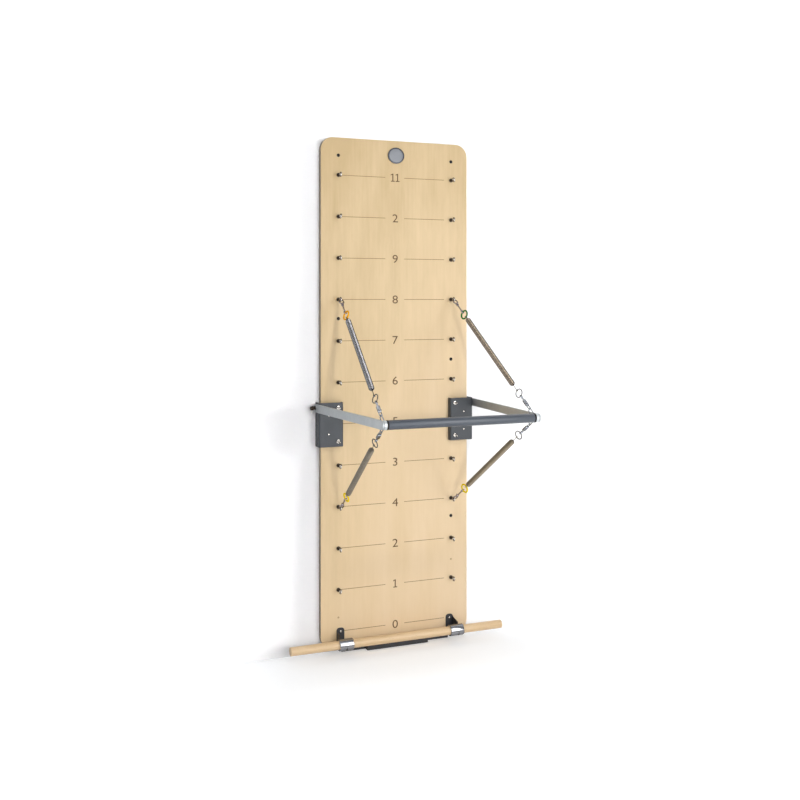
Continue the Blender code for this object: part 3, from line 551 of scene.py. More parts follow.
def bent_wire(points, radius, flanks, sides=12, closed=False):
    """A round wire along points. A flank, one for all or each, is square to the wire."""
    bm = bmesh.new()
    count = len(points)
    if isinstance(flanks, Vector):
        flanks = [flanks] * count
    rings = []
    for k in range(count):
        before = points[k - 1] if closed or k else points[0]
        after = points[(k + 1) % count] if closed or k < count - 1 else points[-1]
        along = (after - before).normalized()
        across = (flanks[k] - flanks[k].dot(along) * along).normalized()
        up = along.cross(across)
        rings.append([bm.verts.new(points[k] + radius * (math.cos(a) * across + math.sin(a) * up))
                      for a in around(sides)])
    if not closed:
        bm.faces.new(rings[0])
        bm.faces.new(rings[-1])
    skin_over(bm, rings, sides, closed)
    return closed_mesh(bm, 50)


def flat_wire(outline, plane, radius, sides=12, closed=False):
    """A wire along flat (u, v) points in a plane, given by its origin and two directions."""
    origin, u_axis, v_axis = plane
    points = [origin + u * u_axis + v * v_axis for u, v in outline]
    return bent_wire(points, radius, u_axis.cross(v_axis), sides, closed)


def hoop(measures, plane, steps, sides):
    """A round ring of wire. Its measures are its own radius and that of its wire."""
    radius, wire_radius = measures
    return flat_wire(circle((0, 0), radius, steps), plane, wire_radius, sides, closed=True)


def lying(u, v, height):
    """Lays an outline flat, pushed along Z."""
    return Vector((u, v, height))


def standing(u, v, height):
    """Stands an outline up in X and Z, pushed along Y."""
    return Vector((u, height, v))


def cut_sheet(outline, low, high, place=lying, edge=0.0, steps=2):
    """Pushes an outline of (u, v) points from low to high, with eased rims."""
    bm = bmesh.new()
    ends = [[bm.verts.new(place(u, v, height)) for u, v in outline] for height in (low, high)]
    bm.faces.new(ends[0])
    bm.faces.new(ends[1])
    skin_over(bm, ends, len(outline), False)
    bmesh.ops.recalc_face_normals(bm, faces=bm.faces)
    if edge:
        rims = [e for e in bm.edges if e.calc_face_angle(0) > math.radians(30)]
        bmesh.ops.bevel(bm, geom=rims, offset=edge, segments=steps, profile=0.5, affect="EDGES")
    return closed_mesh(bm)


# %% Joining, cutting and placing
def linked(name, data):
    """A new object in the scene."""
    item = bpy.data.objects.new(name, data)
    bpy.context.scene.collection.objects.link(item)
    return item


def modify(item, kind, **settings):
    """Adds a modifier with these settings."""
    modifier = item.modifiers.new(kind.lower(), kind)
    for name, value in settings.items():
        setattr(modifier, name, value)


def final_mesh(item):
    """An object's mesh after its modifiers. The object is removed."""
    bpy.context.view_layer.update()
    depsgraph = bpy.context.evaluated_depsgraph_get()
    mesh = bpy.data.meshes.new_from_object(item.evaluated_get(depsgraph))
    bpy.data.objects.remove(item)
    return mesh


def combined(base, others, operation):
    """Joins the other meshes to the base, or cuts them from it."""
    body = linked("base", base)
    tools = [linked("tool", other) for other in others]
    for tool in tools:
        modify(body, "BOOLEAN", operation=operation, object=tool)
    result = final_mesh(body)
    for tool in tools:
        bpy.data.objects.remove(tool)
    return smoothed(result)


def united(base, *others):
    """The base and the others as one skin."""
    return combined(base, others, "UNION")


def hollowed(base, *others):
    """The base without what the others cover."""
    return combined(base, others, "DIFFERENCE")


def moved(mesh, matrix):
    """A copy of a mesh in another place."""
    copy = mesh.copy()
    copy.transform(matrix)
    return copy


def along_x(side, centre=(0, 0, 0)):
    """Stands turned shapes on an axis that points out along X."""
    return Matrix.Translation(centre) @ Matrix.Rotation(side * math.pi / 2, 4, "Y")


def facing_room(centre):
    """Stands turned shapes on the board, with their Z towards the room."""
    return Matrix.Translation(centre) @ Matrix.Rotation(math.pi / 2, 4, "X")


def second_where(mesh, is_second):
    """Gives faces the second of two finishes where a test of their middle says so."""
    for face in mesh.polygons:
        face.material_index = int(is_second(face.center))
    return mesh


def piece(name, mesh, finish, body, *stands_for):
    """Adds a piece that rides on a body, and hides the nodes that it stands for."""
    item = linked(name, mesh)
    for finish_name in finish.split("+"):
        mesh.materials.append(FINISH[finish_name])
    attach(item, body)
    if stands_for:
        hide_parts(*stands_for)

# %% [markdown]
# ## Solids that stay as they are
# Board, arms, plates, brackets and base have the right shape in the CAD model. Only their edges
# are too sharp, so each keeps its mesh and gets a modifier that eases the edges. Flat faces are
# first freed of their inner triangles, or the edge rounding would follow those too.

# %% Finish and soften the CAD solids
def soften(name, finish, edge, steps=3):
    """Gives a node its finish and eased edges."""
    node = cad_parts[name]
    node.data.materials.clear()
    node.data.materials.append(FINISH[finish])
    modify(node, "WELD", merge_threshold=0.00001)
    modify(node, "DECIMATE", decimate_type="DISSOLVE", angle_limit=math.radians(1))
    modify(node, "BEVEL", width=edge, segments=steps, limit_method="ANGLE",
           angle_limit=math.radians(40), harden_normals=True)


soften("board", "birch", 0.0012)
soften("base_foot", "black", 0.0010)
for side_name in SIDES:
    soften(f"arm_{side_name}", "aluminium", 0.0008)
    soften(f"arm_plate_{side_name}", "slate", 0.0007)
    soften(f"dowel_bracket_{side_name}", "black", 0.0006)
print("softened", 2 + 3 * len(SIDES), "nodes")

# %% [markdown]
# ## Dowel and push bar
# Both are long round bars. On the real dowel the ends are sanded to a soft rim, and the bar is a
# steel tube whose ends wear a thin dark ferrule before the silver collar. The lathe makes them
# with twice the facets of the CAD model, so that their outline stays round in a close view.

# %% Dowel and push bar
DOWEL_RADIUS = (dowel_high.z - dowel_low.z) / 2
mesh = rod(DOWEL_RADIUS, -DOWEL_HALF, DOWEL_HALF, 0.003, 64, 5)
piece("sanded_dowel", moved(mesh, along_x(1, dowel_centre)), "beech", "frame", "dowel")

TUBE_WALL = 0.0025
FERRULE_LENGTH = 0.0065
FERRULE_THICKNESS = 0.0002
half = (tube_high.x - tube_low.x) / 2
skin = TUBE_RADIUS - FERRULE_THICKNESS
mesh = pipe(TUBE_RADIUS - TUBE_WALL, skin, -half, half, 0.0004, 2)
piece("coated_tube", moved(mesh, along_x(1, bar_axis)), "bar", "push_bar", "push_tube")
for side_name, side in SIDES.items():
    mesh = pipe(skin - FERRULE_THICKNESS, TUBE_RADIUS, half - FERRULE_LENGTH, half, 0.0001, 2)
    mesh = moved(mesh, along_x(side, bar_axis))
    piece(f"ferrule_{side_name}", mesh, "dark_hole", "push_bar")
print("dowel", round(2 * DOWEL_HALF, 3), "bar", round(2 * half, 4))

# %% [markdown]
# ## Eyebolts
# Twenty steel eyebolts stand in the board. Each is a hexagon nut face on the wood, a short neck
# and an eye. All but the four that hold a spring are turned a few degrees, as hands leave them.
# One mesh is enough for all of them: it is united once, then placed twenty times. The turn of
# each free eye follows a sine of its row and side.

# %% Eyebolt shape
EYEBOLT_BASE_RADIUS = 0.0080
EYEBOLT_BASE_THICKNESS = 0.0060
EYEBOLT_NECK_RADIUS = 0.0024
EYE_REACH = 0.028
SEAT_GAP = 0.0003


def eyebolt_mesh():
    """Nut face, washer face, neck and eye, with the eye's centre at the origin."""
    base = SEAT_GAP - EYE_REACH
    top = base + EYEBOLT_BASE_THICKNESS
    hexagon = circle((0, 0), EYEBOLT_BASE_RADIUS, 6)
    nut = cut_sheet(hexagon, base + 0.0008, top, edge=0.0006)
    washer = rod(EYEBOLT_BASE_RADIUS, base, base + 0.0012, 0.0003, 32)
    collar = [(0, top - 0.001), (0.0046, top - 0.001), (0.0042, top + 0.0012),
              (EYEBOLT_NECK_RADIUS, top + 0.0028), (EYEBOLT_NECK_RADIUS, -EYE_MEAN_RADIUS - 0.001),
              (0, -EYE_MEAN_RADIUS)]
    neck = turned(eased(collar, 0.0006), 24)
    eye = hoop((EYE_MEAN_RADIUS, EYE_WIRE_RADIUS), (Vector(), Y_AXIS, Z_AXIS), 36, 14)
    bright_from = -EYE_MEAN_RADIUS - 2 * EYE_WIRE_RADIUS
    return second_where(united(nut, washer, neck, eye), lambda middle: middle.z > bright_from)


eyebolt = eyebolt_mesh()
print("eyebolt faces", len(eyebolt.polygons))

# %% Twenty eyebolts
EYE_TURN_SPREAD = math.radians(12)
EYE_TURN_STEP = 2.1


def eye_turn(row, side):
    """Free eyes stand at slightly different angles. Those that hold a spring stand upright."""
    if row in SPRING_ROWS.values():
        return 0.0
    return EYE_TURN_SPREAD * math.sin(EYE_TURN_STEP * row + side)


for row in EYEBOLT_ROWS:
    for side_name, side in SIDES.items():
        spot = facing_room(eye_centre(side_name, row))
        spin = Matrix.Rotation(-eye_turn(row, side), 4, "Z")
        node = f"eyebolt_{side_name}_{row:02d}"
        piece(f"{node}_steel", moved(eyebolt, spot @ spin), "dark_steel+steel", "frame", node)

# %% [markdown]
# ## Silver collars with their links
# A cast collar closes each end of the bar. Two closed links of round wire grow out of it, one for
# the upper and one for the lower spring, each in line with its spring. They are made in the
# plane of the spring, so first the run of every spring is worked out.

# %% The run of each spring
COLLAR_LENGTH = 0.0087
LINK_INSET = 0.0020
LINK_REACH = 0.036
LINK_WIRE_RADIUS = 0.0019
COLLAR_X = tube_high.x + SEAT_GAP
LINK_X = COLLAR_X + LINK_INSET
LINK_FAR = TUBE_RADIUS + LINK_REACH - LINK_WIRE_RADIUS


def spring_directions(level):
    """Across X: from the bar back along the spring, and square to it on the upper side."""
    eye = eye_centre("left", SPRING_ROWS[level])
    back = Vector((0, eye.y - bar_axis.y, eye.z - bar_axis.z)).normalized()
    return back, X_AXIS.cross(back)


def spring_run(level, side_name):
    """A matrix whose Z runs from the eyebolt's eye to the link, and the length to its wire."""
    eye = eye_centre(side_name, SPRING_ROWS[level])
    back, up = spring_directions(level)
    target = Vector((SIDES[side_name] * LINK_X, bar_axis.y, bar_axis.z)) + LINK_FAR * back
    along = (target - eye).normalized()
    matrix = Matrix((up.cross(along), up, along)).transposed().to_4x4()
    matrix.translation = eye
    return matrix, (target - eye).length


for level in SPRING_ROWS:
    print(level, "run", round(spring_run(level, "left")[1], 4))

# %% Collars and links
LINK_INNER_WIDTH = 0.0150
LINK_CORNER_RADIUS = 0.0050
LINK_ROOT_DEPTH = 0.0085
LINK_SHIFTS = {"upper": -0.0044, "lower": 0.0048}


def collar_with_links(side):
    """A turned collar united with one link for each spring level."""
    collar = rod(TUBE_RADIUS, COLLAR_X, COLLAR_X + COLLAR_LENGTH, 0.0012, 72, 4)
    collar = moved(collar, along_x(side, (0, bar_axis.y, bar_axis.z)))
    half = LINK_INNER_WIDTH / 2 + LINK_WIRE_RADIUS
    near = TUBE_RADIUS - LINK_ROOT_DEPTH
    bend = LINK_CORNER_RADIUS
    links = []
    for level, shift in LINK_SHIFTS.items():
        outline = [(near, shift - half)]
        outline += arc((LINK_FAR - bend, shift - half + bend), bend, -90, 0, 10)
        outline += arc((LINK_FAR - bend, shift + half - bend), bend, 0, 90, 10)
        outline += [(near, shift + half)]
        root = Vector((side * LINK_X, bar_axis.y, bar_axis.z))
        links.append(flat_wire(outline, (root, *spring_directions(level)), LINK_WIRE_RADIUS))
    return second_where(united(collar, *links), lambda middle: math.hypot(
        middle.y - bar_axis.y, middle.z - bar_axis.z) > TUBE_RADIUS + SEAT_GAP)


for side_name, side in SIDES.items():
    piece(f"silver_collar_{side_name}", collar_with_links(side), "collar+chain", "push_bar",
          f"end_cap_{side_name}")

# %% [markdown]
# ## Snap hooks
# Each spring hangs between two swivel snap hooks. The wall hook is a closed loop through the
# eyebolt, then a barrel, a stem and a swivel eye. The bar hook has a slim body with a sliding
# gate that closes its jaw. Loops and jaws are bent wire, barrels are turned, the body is cut from
# sheet with well rounded edges. Everything is made along Z and then laid into the spring's run.

# %% Measures of the hooks
LOOP_WIRE_RADIUS = 0.0023
LOOP_HALF_WIDTH = 0.0085
LOOP_STRAIGHT = 0.0080
WALL_HOOK_LENGTH = 0.0846
BARREL_RADIUS = 0.0055
BARREL_LENGTH = 0.013
STEM_RADIUS = 0.0030
SWIVEL_COLLAR_RADIUS = 0.0045
SWIVEL_COLLAR_LENGTH = 0.005
JAW_WIRE_RADIUS = 0.0019
JAW_HALF_WIDTH = 0.0046
JAW_LENGTH = 0.0200
JAW_TIP_LENGTH = 0.0030
BODY_HALF_WIDTH = 0.0065
BODY_HALF_THICKNESS = 0.0040
BODY_LENGTH = 0.032
BODY_TAPER_LENGTH = 0.004
BODY_TAPER_HALF_WIDTH = 0.0040
BODY_DIMPLE_RADIUS = 0.0022
BODY_DIMPLE_DEPTH = 0.0008
BAR_HOOK_LENGTH = 0.072
GATE_HALF_WIDTH = 0.0014
GATE_LENGTH = 0.030
GATE_TRAVEL = 0.006
GATE_KNOB_BACK = 0.021
GATE_KNOB_LENGTH = 0.004
GATE_KNOB_HEIGHT = 0.0032
RING_ROLLS = {"upper": math.radians(70), "lower": math.radians(-70)}
# Of everything round: the radius of the ring, then that of its wire.
WALL_SWIVEL = (0.0060, 0.0016)
BAR_SWIVEL = (0.0050, 0.0015)
COLOUR_RING = (0.0165, 0.0032)
PLAIN_RING = (0.0155, 0.0019)


def rolled(roll):
    """A direction across the run, turned about it."""
    return Vector((math.cos(roll), math.sin(roll), 0))


def swivel_eye(centre, measures, roll):
    """A small eye that stands square to the ring through it."""
    plane = (Vector((0, 0, centre)), rolled(roll + math.pi / 2), Z_AXIS)
    return hoop(measures, plane, 30, 12)


# %% Wall hook
STUD_PROFILE = [(0, 0), (0.0016, 0), (0.0016, 0.0022), (0.0026, 0.0026), (0.0026, 0.0040),
                (0, 0.0040)]
STUD_AHEAD = 0.0050
STUD_OUT = 0.0036


def wall_hook(roll):
    """Loop through the eyebolt, ribbed barrel, stem, collar and swivel eye."""
    near = EYE_MEAN_RADIUS - EYE_WIRE_RADIUS - SEAT_GAP - LOOP_WIRE_RADIUS
    near_centre = near + LOOP_HALF_WIDTH
    far_centre = near_centre + LOOP_STRAIGHT
    far = far_centre + LOOP_HALF_WIDTH
    outline = arc((0, far_centre), LOOP_HALF_WIDTH, 0, 180, 16)
    outline += arc((0, near_centre), LOOP_HALF_WIDTH, 180, 360, 16)
    loop = flat_wire(outline, (Vector(), X_AXIS, Z_AXIS), LOOP_WIRE_RADIUS, 14, closed=True)
    eye_at = near + WALL_HOOK_LENGTH
    start = far - LOOP_WIRE_RADIUS / 2
    rib = BARREL_LENGTH / 3
    barrel_end = start + BARREL_LENGTH
    end = eye_at - WALL_SWIVEL[0]
    collar = end - SWIVEL_COLLAR_LENGTH
    profile = stepped(
        (0, start), (BARREL_RADIUS * 0.8, start + 0.0008),
        (BARREL_RADIUS, start + 0.003, start + rib),
        (BARREL_RADIUS * 0.86, start + rib + 0.0007, start + 2 * rib),
        (BARREL_RADIUS, start + 2 * rib + 0.0007, barrel_end), (STEM_RADIUS, barrel_end + 0.004),
        (STEM_RADIUS * 0.85, collar - 0.003), (STEM_RADIUS, collar - 0.0004),
        (SWIVEL_COLLAR_RADIUS, collar, end - 0.0016), (0, end))
    stem = turned(eased(profile, 0.0007), 28)
    spot = Matrix.Translation((0, STUD_OUT, far + STUD_AHEAD))
    stud = moved(turned(eased(STUD_PROFILE, 0.0004), 16),
                 spot @ Matrix.Rotation(-math.pi / 2, 4, "X"))
    return united(stem, loop, stud, swivel_eye(eye_at, WALL_SWIVEL, roll)), eye_at


# %% Bar hook and gate
def gate_front(grip):
    """Where the closed gate meets the jaw's tip."""
    return grip - JAW_HALF_WIDTH - JAW_TIP_LENGTH - SEAT_GAP


def bar_hook(inward, grip, roll):
    """Swivel eye, stem, slim body with the gate's groove, and the open jaw."""
    front = grip - JAW_LENGTH
    back = front - BODY_LENGTH
    taper = back + BODY_TAPER_LENGTH
    flank = stepped((BODY_HALF_WIDTH, front, taper), (BODY_TAPER_HALF_WIDTH, back))
    outline = flank + [(-u, v) for u, v in reversed(flank)]
    half = BODY_HALF_THICKNESS
    body = cut_sheet(outline, -half, half, standing, 0.0016, 4)
    wall = GATE_HALF_WIDTH + SEAT_GAP
    edges = sorted((inward * (JAW_HALF_WIDTH - wall), inward * 2 * BODY_HALF_WIDTH))
    groove_end = gate_front(grip) - GATE_LENGTH - GATE_TRAVEL - 0.001
    opening = box_outline(edges, (groove_end, front + JAW_LENGTH / 4))
    groove = cut_sheet(opening, -wall, wall, standing)
    spot = circle((0, (front + back) / 2), BODY_DIMPLE_RADIUS, 20)
    dimple = cut_sheet(spot, half - BODY_DIMPLE_DEPTH, 2 * half, standing)
    bend = arc((0, grip - JAW_HALF_WIDTH), JAW_HALF_WIDTH, 180, 0, 16)
    outline = [(-inward * JAW_HALF_WIDTH, front - BODY_TAPER_LENGTH)]
    outline += [(-inward * u, v) for u, v in reversed(bend)]
    outline += [(inward * JAW_HALF_WIDTH, grip - JAW_HALF_WIDTH - JAW_TIP_LENGTH)]
    jaw = flat_wire(outline, (Vector(), X_AXIS, Z_AXIS), JAW_WIRE_RADIUS)
    eye_at = grip - BAR_HOOK_LENGTH
    start = eye_at + BAR_SWIVEL[0]
    collar = start + SWIVEL_COLLAR_LENGTH
    profile = stepped((0, start), (SWIVEL_COLLAR_RADIUS, start + 0.0015, collar),
                      (STEM_RADIUS, collar + 0.0006, back + 0.001), (0, back + 0.003))
    stem = turned(eased(profile, 0.0007), 28)
    eye = swivel_eye(eye_at, BAR_SWIVEL, roll)
    return united(hollowed(body, groove, dimple), jaw, stem, eye), eye_at


def sliding_gate(inward, grip):
    """A round-nosed bolt with a ribbed thumb knob."""
    half = GATE_HALF_WIDTH
    x = inward * JAW_HALF_WIDTH
    front = gate_front(grip)
    section = box_outline((x - half, x + half), (-half, half))
    bolt = cut_sheet(section, front - GATE_LENGTH, front, edge=0.0004)
    knob_front = front - GATE_KNOB_BACK

    def knob_part(rise, back, ahead, thickness, edge):
        """A block of the knob, its ends given as shares of the knob's length."""
        edges = sorted((x, x + inward * rise))
        ends = (knob_front - GATE_KNOB_LENGTH * back, knob_front - GATE_KNOB_LENGTH * ahead)
        return cut_sheet(box_outline(edges, ends), -thickness, thickness, standing, edge)

    ribs = [knob_part(half + GATE_KNOB_HEIGHT, share + 0.28, share, 0.8 * half, 0.0002)
            for share in (0.0, 0.36, 0.72)]
    core = knob_part(half + 0.8 * GATE_KNOB_HEIGHT, 1, 0, 0.72 * half, 0.0)
    return united(bolt, core, *ribs)

# %% [markdown]
# ## Rings and springs
# A ring joins each spring to its hook: dipped in colour at the wall, plain at the bar. The spring
# is wound from one wire of 2.6 mm. Its curls close in at both ends, the wire runs out along the
# middle and ends in a small eye round the ring. Under the pull of the bar the curls stand a
# little apart, and a spring gets longer or shorter as the bar swings. The wire is one mesh, laid
# into the spring's run.

# %% Spring wire
COIL_RADIUS = 0.0094
COIL_WIRE_RADIUS = 0.0013
COIL_PITCH = 0.0028
COIL_POINTS = 14
COIL_WALL_LEAD = 0.0085
COIL_BAR_LEAD = 0.0290
COIL_END_RADIUS = 0.0048
COIL_TAPER_TURNS = 3.0
COIL_ENTRY_TURNS = 0.5
END_EYE_STEPS = 21
END_EYE_SWEEP = 330
END_EYE_TIP = 12


def end_eye(ring_at, ring_wire_radius, towards, roll):
    """Points of the small eye round a ring's wire, from the tip back to the stem."""
    radius = ring_wire_radius + COIL_WIRE_RADIUS + SEAT_GAP
    points = []
    for step in range(END_EYE_STEPS + 1):
        angle = math.radians(END_EYE_SWEEP * (1 - step / END_EYE_STEPS) + END_EYE_TIP)
        offset = math.cos(angle) * towards * Z_AXIS + math.sin(angle) * rolled(roll + math.pi / 2)
        points.append(ring_at * Z_AXIS + radius * offset)
    return points


def coil_radius(turns, total):
    """Full in the middle, tapering at both ends, then in to the axis."""
    near = min(turns, total - turns)
    if near < COIL_ENTRY_TURNS:
        return COIL_END_RADIUS * math.sin(near / COIL_ENTRY_TURNS * math.pi / 2)
    share = min((near - COIL_ENTRY_TURNS) / COIL_TAPER_TURNS, 1.0)
    return COIL_END_RADIUS + (COIL_RADIUS - COIL_END_RADIUS) * math.sin(share * math.pi / 2)


def spring_wire(start, end, wall_ring, bar_ring, roll):
    """The spring from the eye on the coloured ring to the eye on the plain ring."""
    first, last = start + COIL_WALL_LEAD, end - COIL_BAR_LEAD
    total = round((last - first) / COIL_PITCH)
    steps = total * COIL_POINTS
    points = end_eye(wall_ring, COLOUR_RING[1], 1, roll)
    for step in range(1, steps):
        turns = step / COIL_POINTS
        height = first + (last - first) * step / steps
        points.append(coil_radius(turns, total) * rolled(2 * math.pi * turns) + height * Z_AXIS)
    points += [(last + 0.004) * Z_AXIS, (last + end) / 2 * Z_AXIS]
    points += reversed(end_eye(bar_ring, PLAIN_RING[1], -1, roll))
    return points, total


def carried_flanks(points):
    """Carries one direction along a path without twist, so that the wire's skin stays even."""
    along = (points[1] - points[0]).normalized()
    flanks = [along.orthogonal().normalized()]
    for before, after in zip(points, points[2:] + points[-1:]):
        ahead = (after - before).normalized()
        flanks.append(along.rotation_difference(ahead) @ flanks[-1])
        along = ahead
    return flanks


# %% Four spring runs
def hung_ring(eye_at, swivel, measures, towards, roll, sides):
    """A ring through a swivel eye, and where the far side of its wire runs."""
    radius, wire_radius = measures
    play = swivel[0] - swivel[1] - SEAT_GAP - wire_radius
    middle = eye_at + towards * (play + radius)
    mesh = hoop(measures, (middle * Z_AXIS, rolled(roll), Z_AXIS), 48, sides)
    return mesh, middle + towards * radius


for level, roll in RING_ROLLS.items():
    hook_mesh, wall_eye = wall_hook(roll)
    dipped_ring, wall_ring = hung_ring(wall_eye, WALL_SWIVEL, COLOUR_RING, 1, roll, 18)
    for side_name, side in SIDES.items():
        name = f"{level}_{side_name}"
        run, length = spring_run(level, side_name)
        grip = length + LINK_WIRE_RADIUS + SEAT_GAP + JAW_WIRE_RADIUS
        jaw_mesh, bar_eye = bar_hook(-side, grip, roll)
        bright_ring, bar_ring = hung_ring(bar_eye, BAR_SWIVEL, PLAIN_RING, -1, roll, 14)
        for title, mesh, finish, body, node in (
                ("wall_snap", hook_mesh, "purple_steel", "head", "wall_hook"),
                ("bar_snap", jaw_mesh, "chain", "tail", "bar_hook"),
                ("sliding_gate", sliding_gate(-side, grip), "chain", "gate", "hook_gate"),
                ("dipped_ring", dipped_ring, f"ring_{name}", "head", "colour_ring"),
                ("bright_ring", bright_ring, "thin_ring", "tail", "plain_ring")):
            piece(f"{title}_{name}", moved(mesh, run), finish, f"{body}_{name}", f"{node}_{name}")
        start = wall_ring + COLOUR_RING[1] + SEAT_GAP
        end = bar_ring - PLAIN_RING[1] - SEAT_GAP
        points, curls = spring_wire(start, end, wall_ring, bar_ring, roll)
        mesh = bent_wire(points, COIL_WIRE_RADIUS, carried_flanks(points), 8)
        spring = linked(f"wound_spring_{name}", moved(mesh, run))
        spring.data.materials.append(FINISH[f"spring_{name}"])
        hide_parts(f"spring_{name}")
        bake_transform(spring)
        print(name, "curls", curls, "faces", len(mesh.polygons), "run", round(length, 4))

# %% [markdown]
# ## Pivots
# Each arm turns on a bolt through its plate, with a washer and a waisted black knob outside, and a
# small screw that stands out below the knob. The lathe takes the same profile as the CAD bolt,
# with its corners eased and fine grooves where fingers grip the knob.

# %% Pivots
PIVOT_SHANK_RADIUS = 0.005
PIVOT_WASHER_RADIUS = 0.009
PIVOT_WASHER_THICKNESS = 0.0028
PIVOT_NECK_RADIUS = 0.006
PIVOT_NECK_LENGTH = 0.0030
PIVOT_KNOB_RADIUS = 0.0088
PIVOT_KNOB_LENGTH = 0.0075
PIVOT_WAIST_RADIUS = 0.0064
PIVOT_TIP_RADIUS = 0.0078
PIVOT_EDGE = 0.0012
PIVOT_GROOVES = 12
PIVOT_GROOVE_RADIUS = 0.0009
PIVOT_SOCKET_RADIUS = 0.0032
PIVOT_SOCKET_DEPTH = 0.0030
PIVOT_PIN_RADIUS = 0.0015
PIVOT_PIN_LENGTH = 0.0110
PIVOT_PIN_BACK = 0.0055
PLATE_SHEET = 0.004
ARM_THICKNESS = 0.008


def pivot_mesh(start, flange_out, arm_out, end):
    """Nut, shank with a spacer, washer and waisted knob, along Z."""
    plate = (flange_out - PLATE_SHEET - SEAT_GAP, flange_out + SEAT_GAP)
    arm = (arm_out - ARM_THICKNESS - SEAT_GAP, arm_out + SEAT_GAP)
    neck = arm_out + PIVOT_WASHER_THICKNESS
    knob = neck + PIVOT_NECK_LENGTH
    waist = knob + PIVOT_KNOB_LENGTH
    profile = stepped(
        (0, start), (PIVOT_WASHER_RADIUS, start, plate[0]), (PIVOT_SHANK_RADIUS, *plate),
        (PIVOT_WASHER_RADIUS, plate[1], arm[0]), (PIVOT_SHANK_RADIUS, *arm),
        (PIVOT_WASHER_RADIUS, arm[1], neck), (PIVOT_NECK_RADIUS, neck, knob),
        (PIVOT_KNOB_RADIUS, knob + PIVOT_EDGE, waist - PIVOT_EDGE), (PIVOT_WAIST_RADIUS, waist),
        (PIVOT_TIP_RADIUS, waist + PIVOT_EDGE, end - PIVOT_EDGE), (PIVOT_WAIST_RADIUS, end),
        (0, end))
    grooves = []
    for angle in around(PIVOT_GROOVES):
        centre = (PIVOT_KNOB_RADIUS + 0.0004) * rolled(angle)
        flute = circle(centre, PIVOT_GROOVE_RADIUS, 8)
        grooves.append(cut_sheet(flute, knob - 0.001, waist + 0.0005))
    hexagon = circle((0, 0), PIVOT_SOCKET_RADIUS, 6)
    socket = cut_sheet(hexagon, end - PIVOT_SOCKET_DEPTH, end + 0.001)
    return hollowed(turned(eased(profile, 0.0005), 36), socket, *grooves)


for side_name, side in SIDES.items():
    low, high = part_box(f"pivot_bolt_{side_name}")
    start, end = sorted((abs(low.x), abs(high.x)))
    flange_out, arm_out = (max(abs(corner.x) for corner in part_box(f"{part}_{side_name}"))
                           for part in ("arm_plate", "arm"))
    _, y, z = (low + high) / 2
    mesh = moved(pivot_mesh(start, flange_out, arm_out, end), along_x(side, (0, y, z)))
    piece(f"pivot_knob_{side_name}", mesh, "dark_steel", "frame", f"pivot_bolt_{side_name}")
    pin = rod(PIVOT_PIN_RADIUS, 0, -PIVOT_PIN_LENGTH, 0.0005, 16)
    spot = (side * (end - PIVOT_PIN_BACK), y, z - PIVOT_WAIST_RADIUS + 0.001)
    piece(f"pivot_pin_{side_name}", moved(pin, Matrix.Translation(spot)), "steel", "frame")
print("pivots at", round(y, 4), round(z, 4))

# %% [markdown]
# ## Screws
# Small screws are what tells a viewer that the sheet parts are fixed to the board. A dome with a
# hexagon or crossed socket takes one function. Each is set so that its head rests on its part.

# %% Screw heads
PLUG_RADIUS = 0.0040
PLUG_HEIGHT = 0.0003


def screw_head(radius, height, socket):
    """A domed head on z = 0 with a hexagon or a crossed socket."""
    profile = [(0, 0), (radius, 0), (radius, height * 0.35), (radius * 0.82, height * 0.8),
               (radius * 0.45, height), (0, height)]
    dome = turned(eased(profile, radius * 0.15), 28)
    long, thin = radius * 0.62, radius * 0.13
    outlines = {"hex": [circle((0, 0), radius * 0.48, 6)],
                "cross": [box_outline((-u, u), (-v, v)) for u, v in ((long, thin), (thin, long))]}
    return hollowed(dome, *(cut_sheet(o, height * 0.45, 2 * height) for o in outlines[socket]))


hex_screw = screw_head(0.0068, 0.0026, "hex")
cross_screw = screw_head(0.0046, 0.0024, "cross")
small_screw = screw_head(0.0036, 0.0020, "cross")
plug = rod(PLUG_RADIUS, 0, PLUG_HEIGHT, 0.0001, 32)


def on_board(x, z, depth=0.0, turn=0.0):
    """A place on the board's face, turned about the line towards the room."""
    return facing_room((x, BOARD_FACE - depth, z)) @ Matrix.Rotation(turn, 4, "Z")


# %% Screws and plugs in the board
BOARD_SCREWS = ((-0.243, 0.930), (0.243, 0.929), (-0.243, 0.290), (0.243, 0.121), (0.243, -0.520))
BOARD_PLUGS = ((-0.243, -0.881), (0.243, -0.698))
for k, (x, z) in enumerate(BOARD_SCREWS):
    place = on_board(x, z, turn=0.7 * k) @ Matrix.Diagonal((1, 1, 0.5, 1))
    piece(f"board_screw_{k}", moved(hex_screw, place), "dark_hole", "frame")
for k, (x, z) in enumerate(BOARD_PLUGS):
    piece(f"board_plug_{k}", moved(plug, on_board(x, z)), "plug", "frame")
print("board screws", len(BOARD_SCREWS), "plugs", len(BOARD_PLUGS))

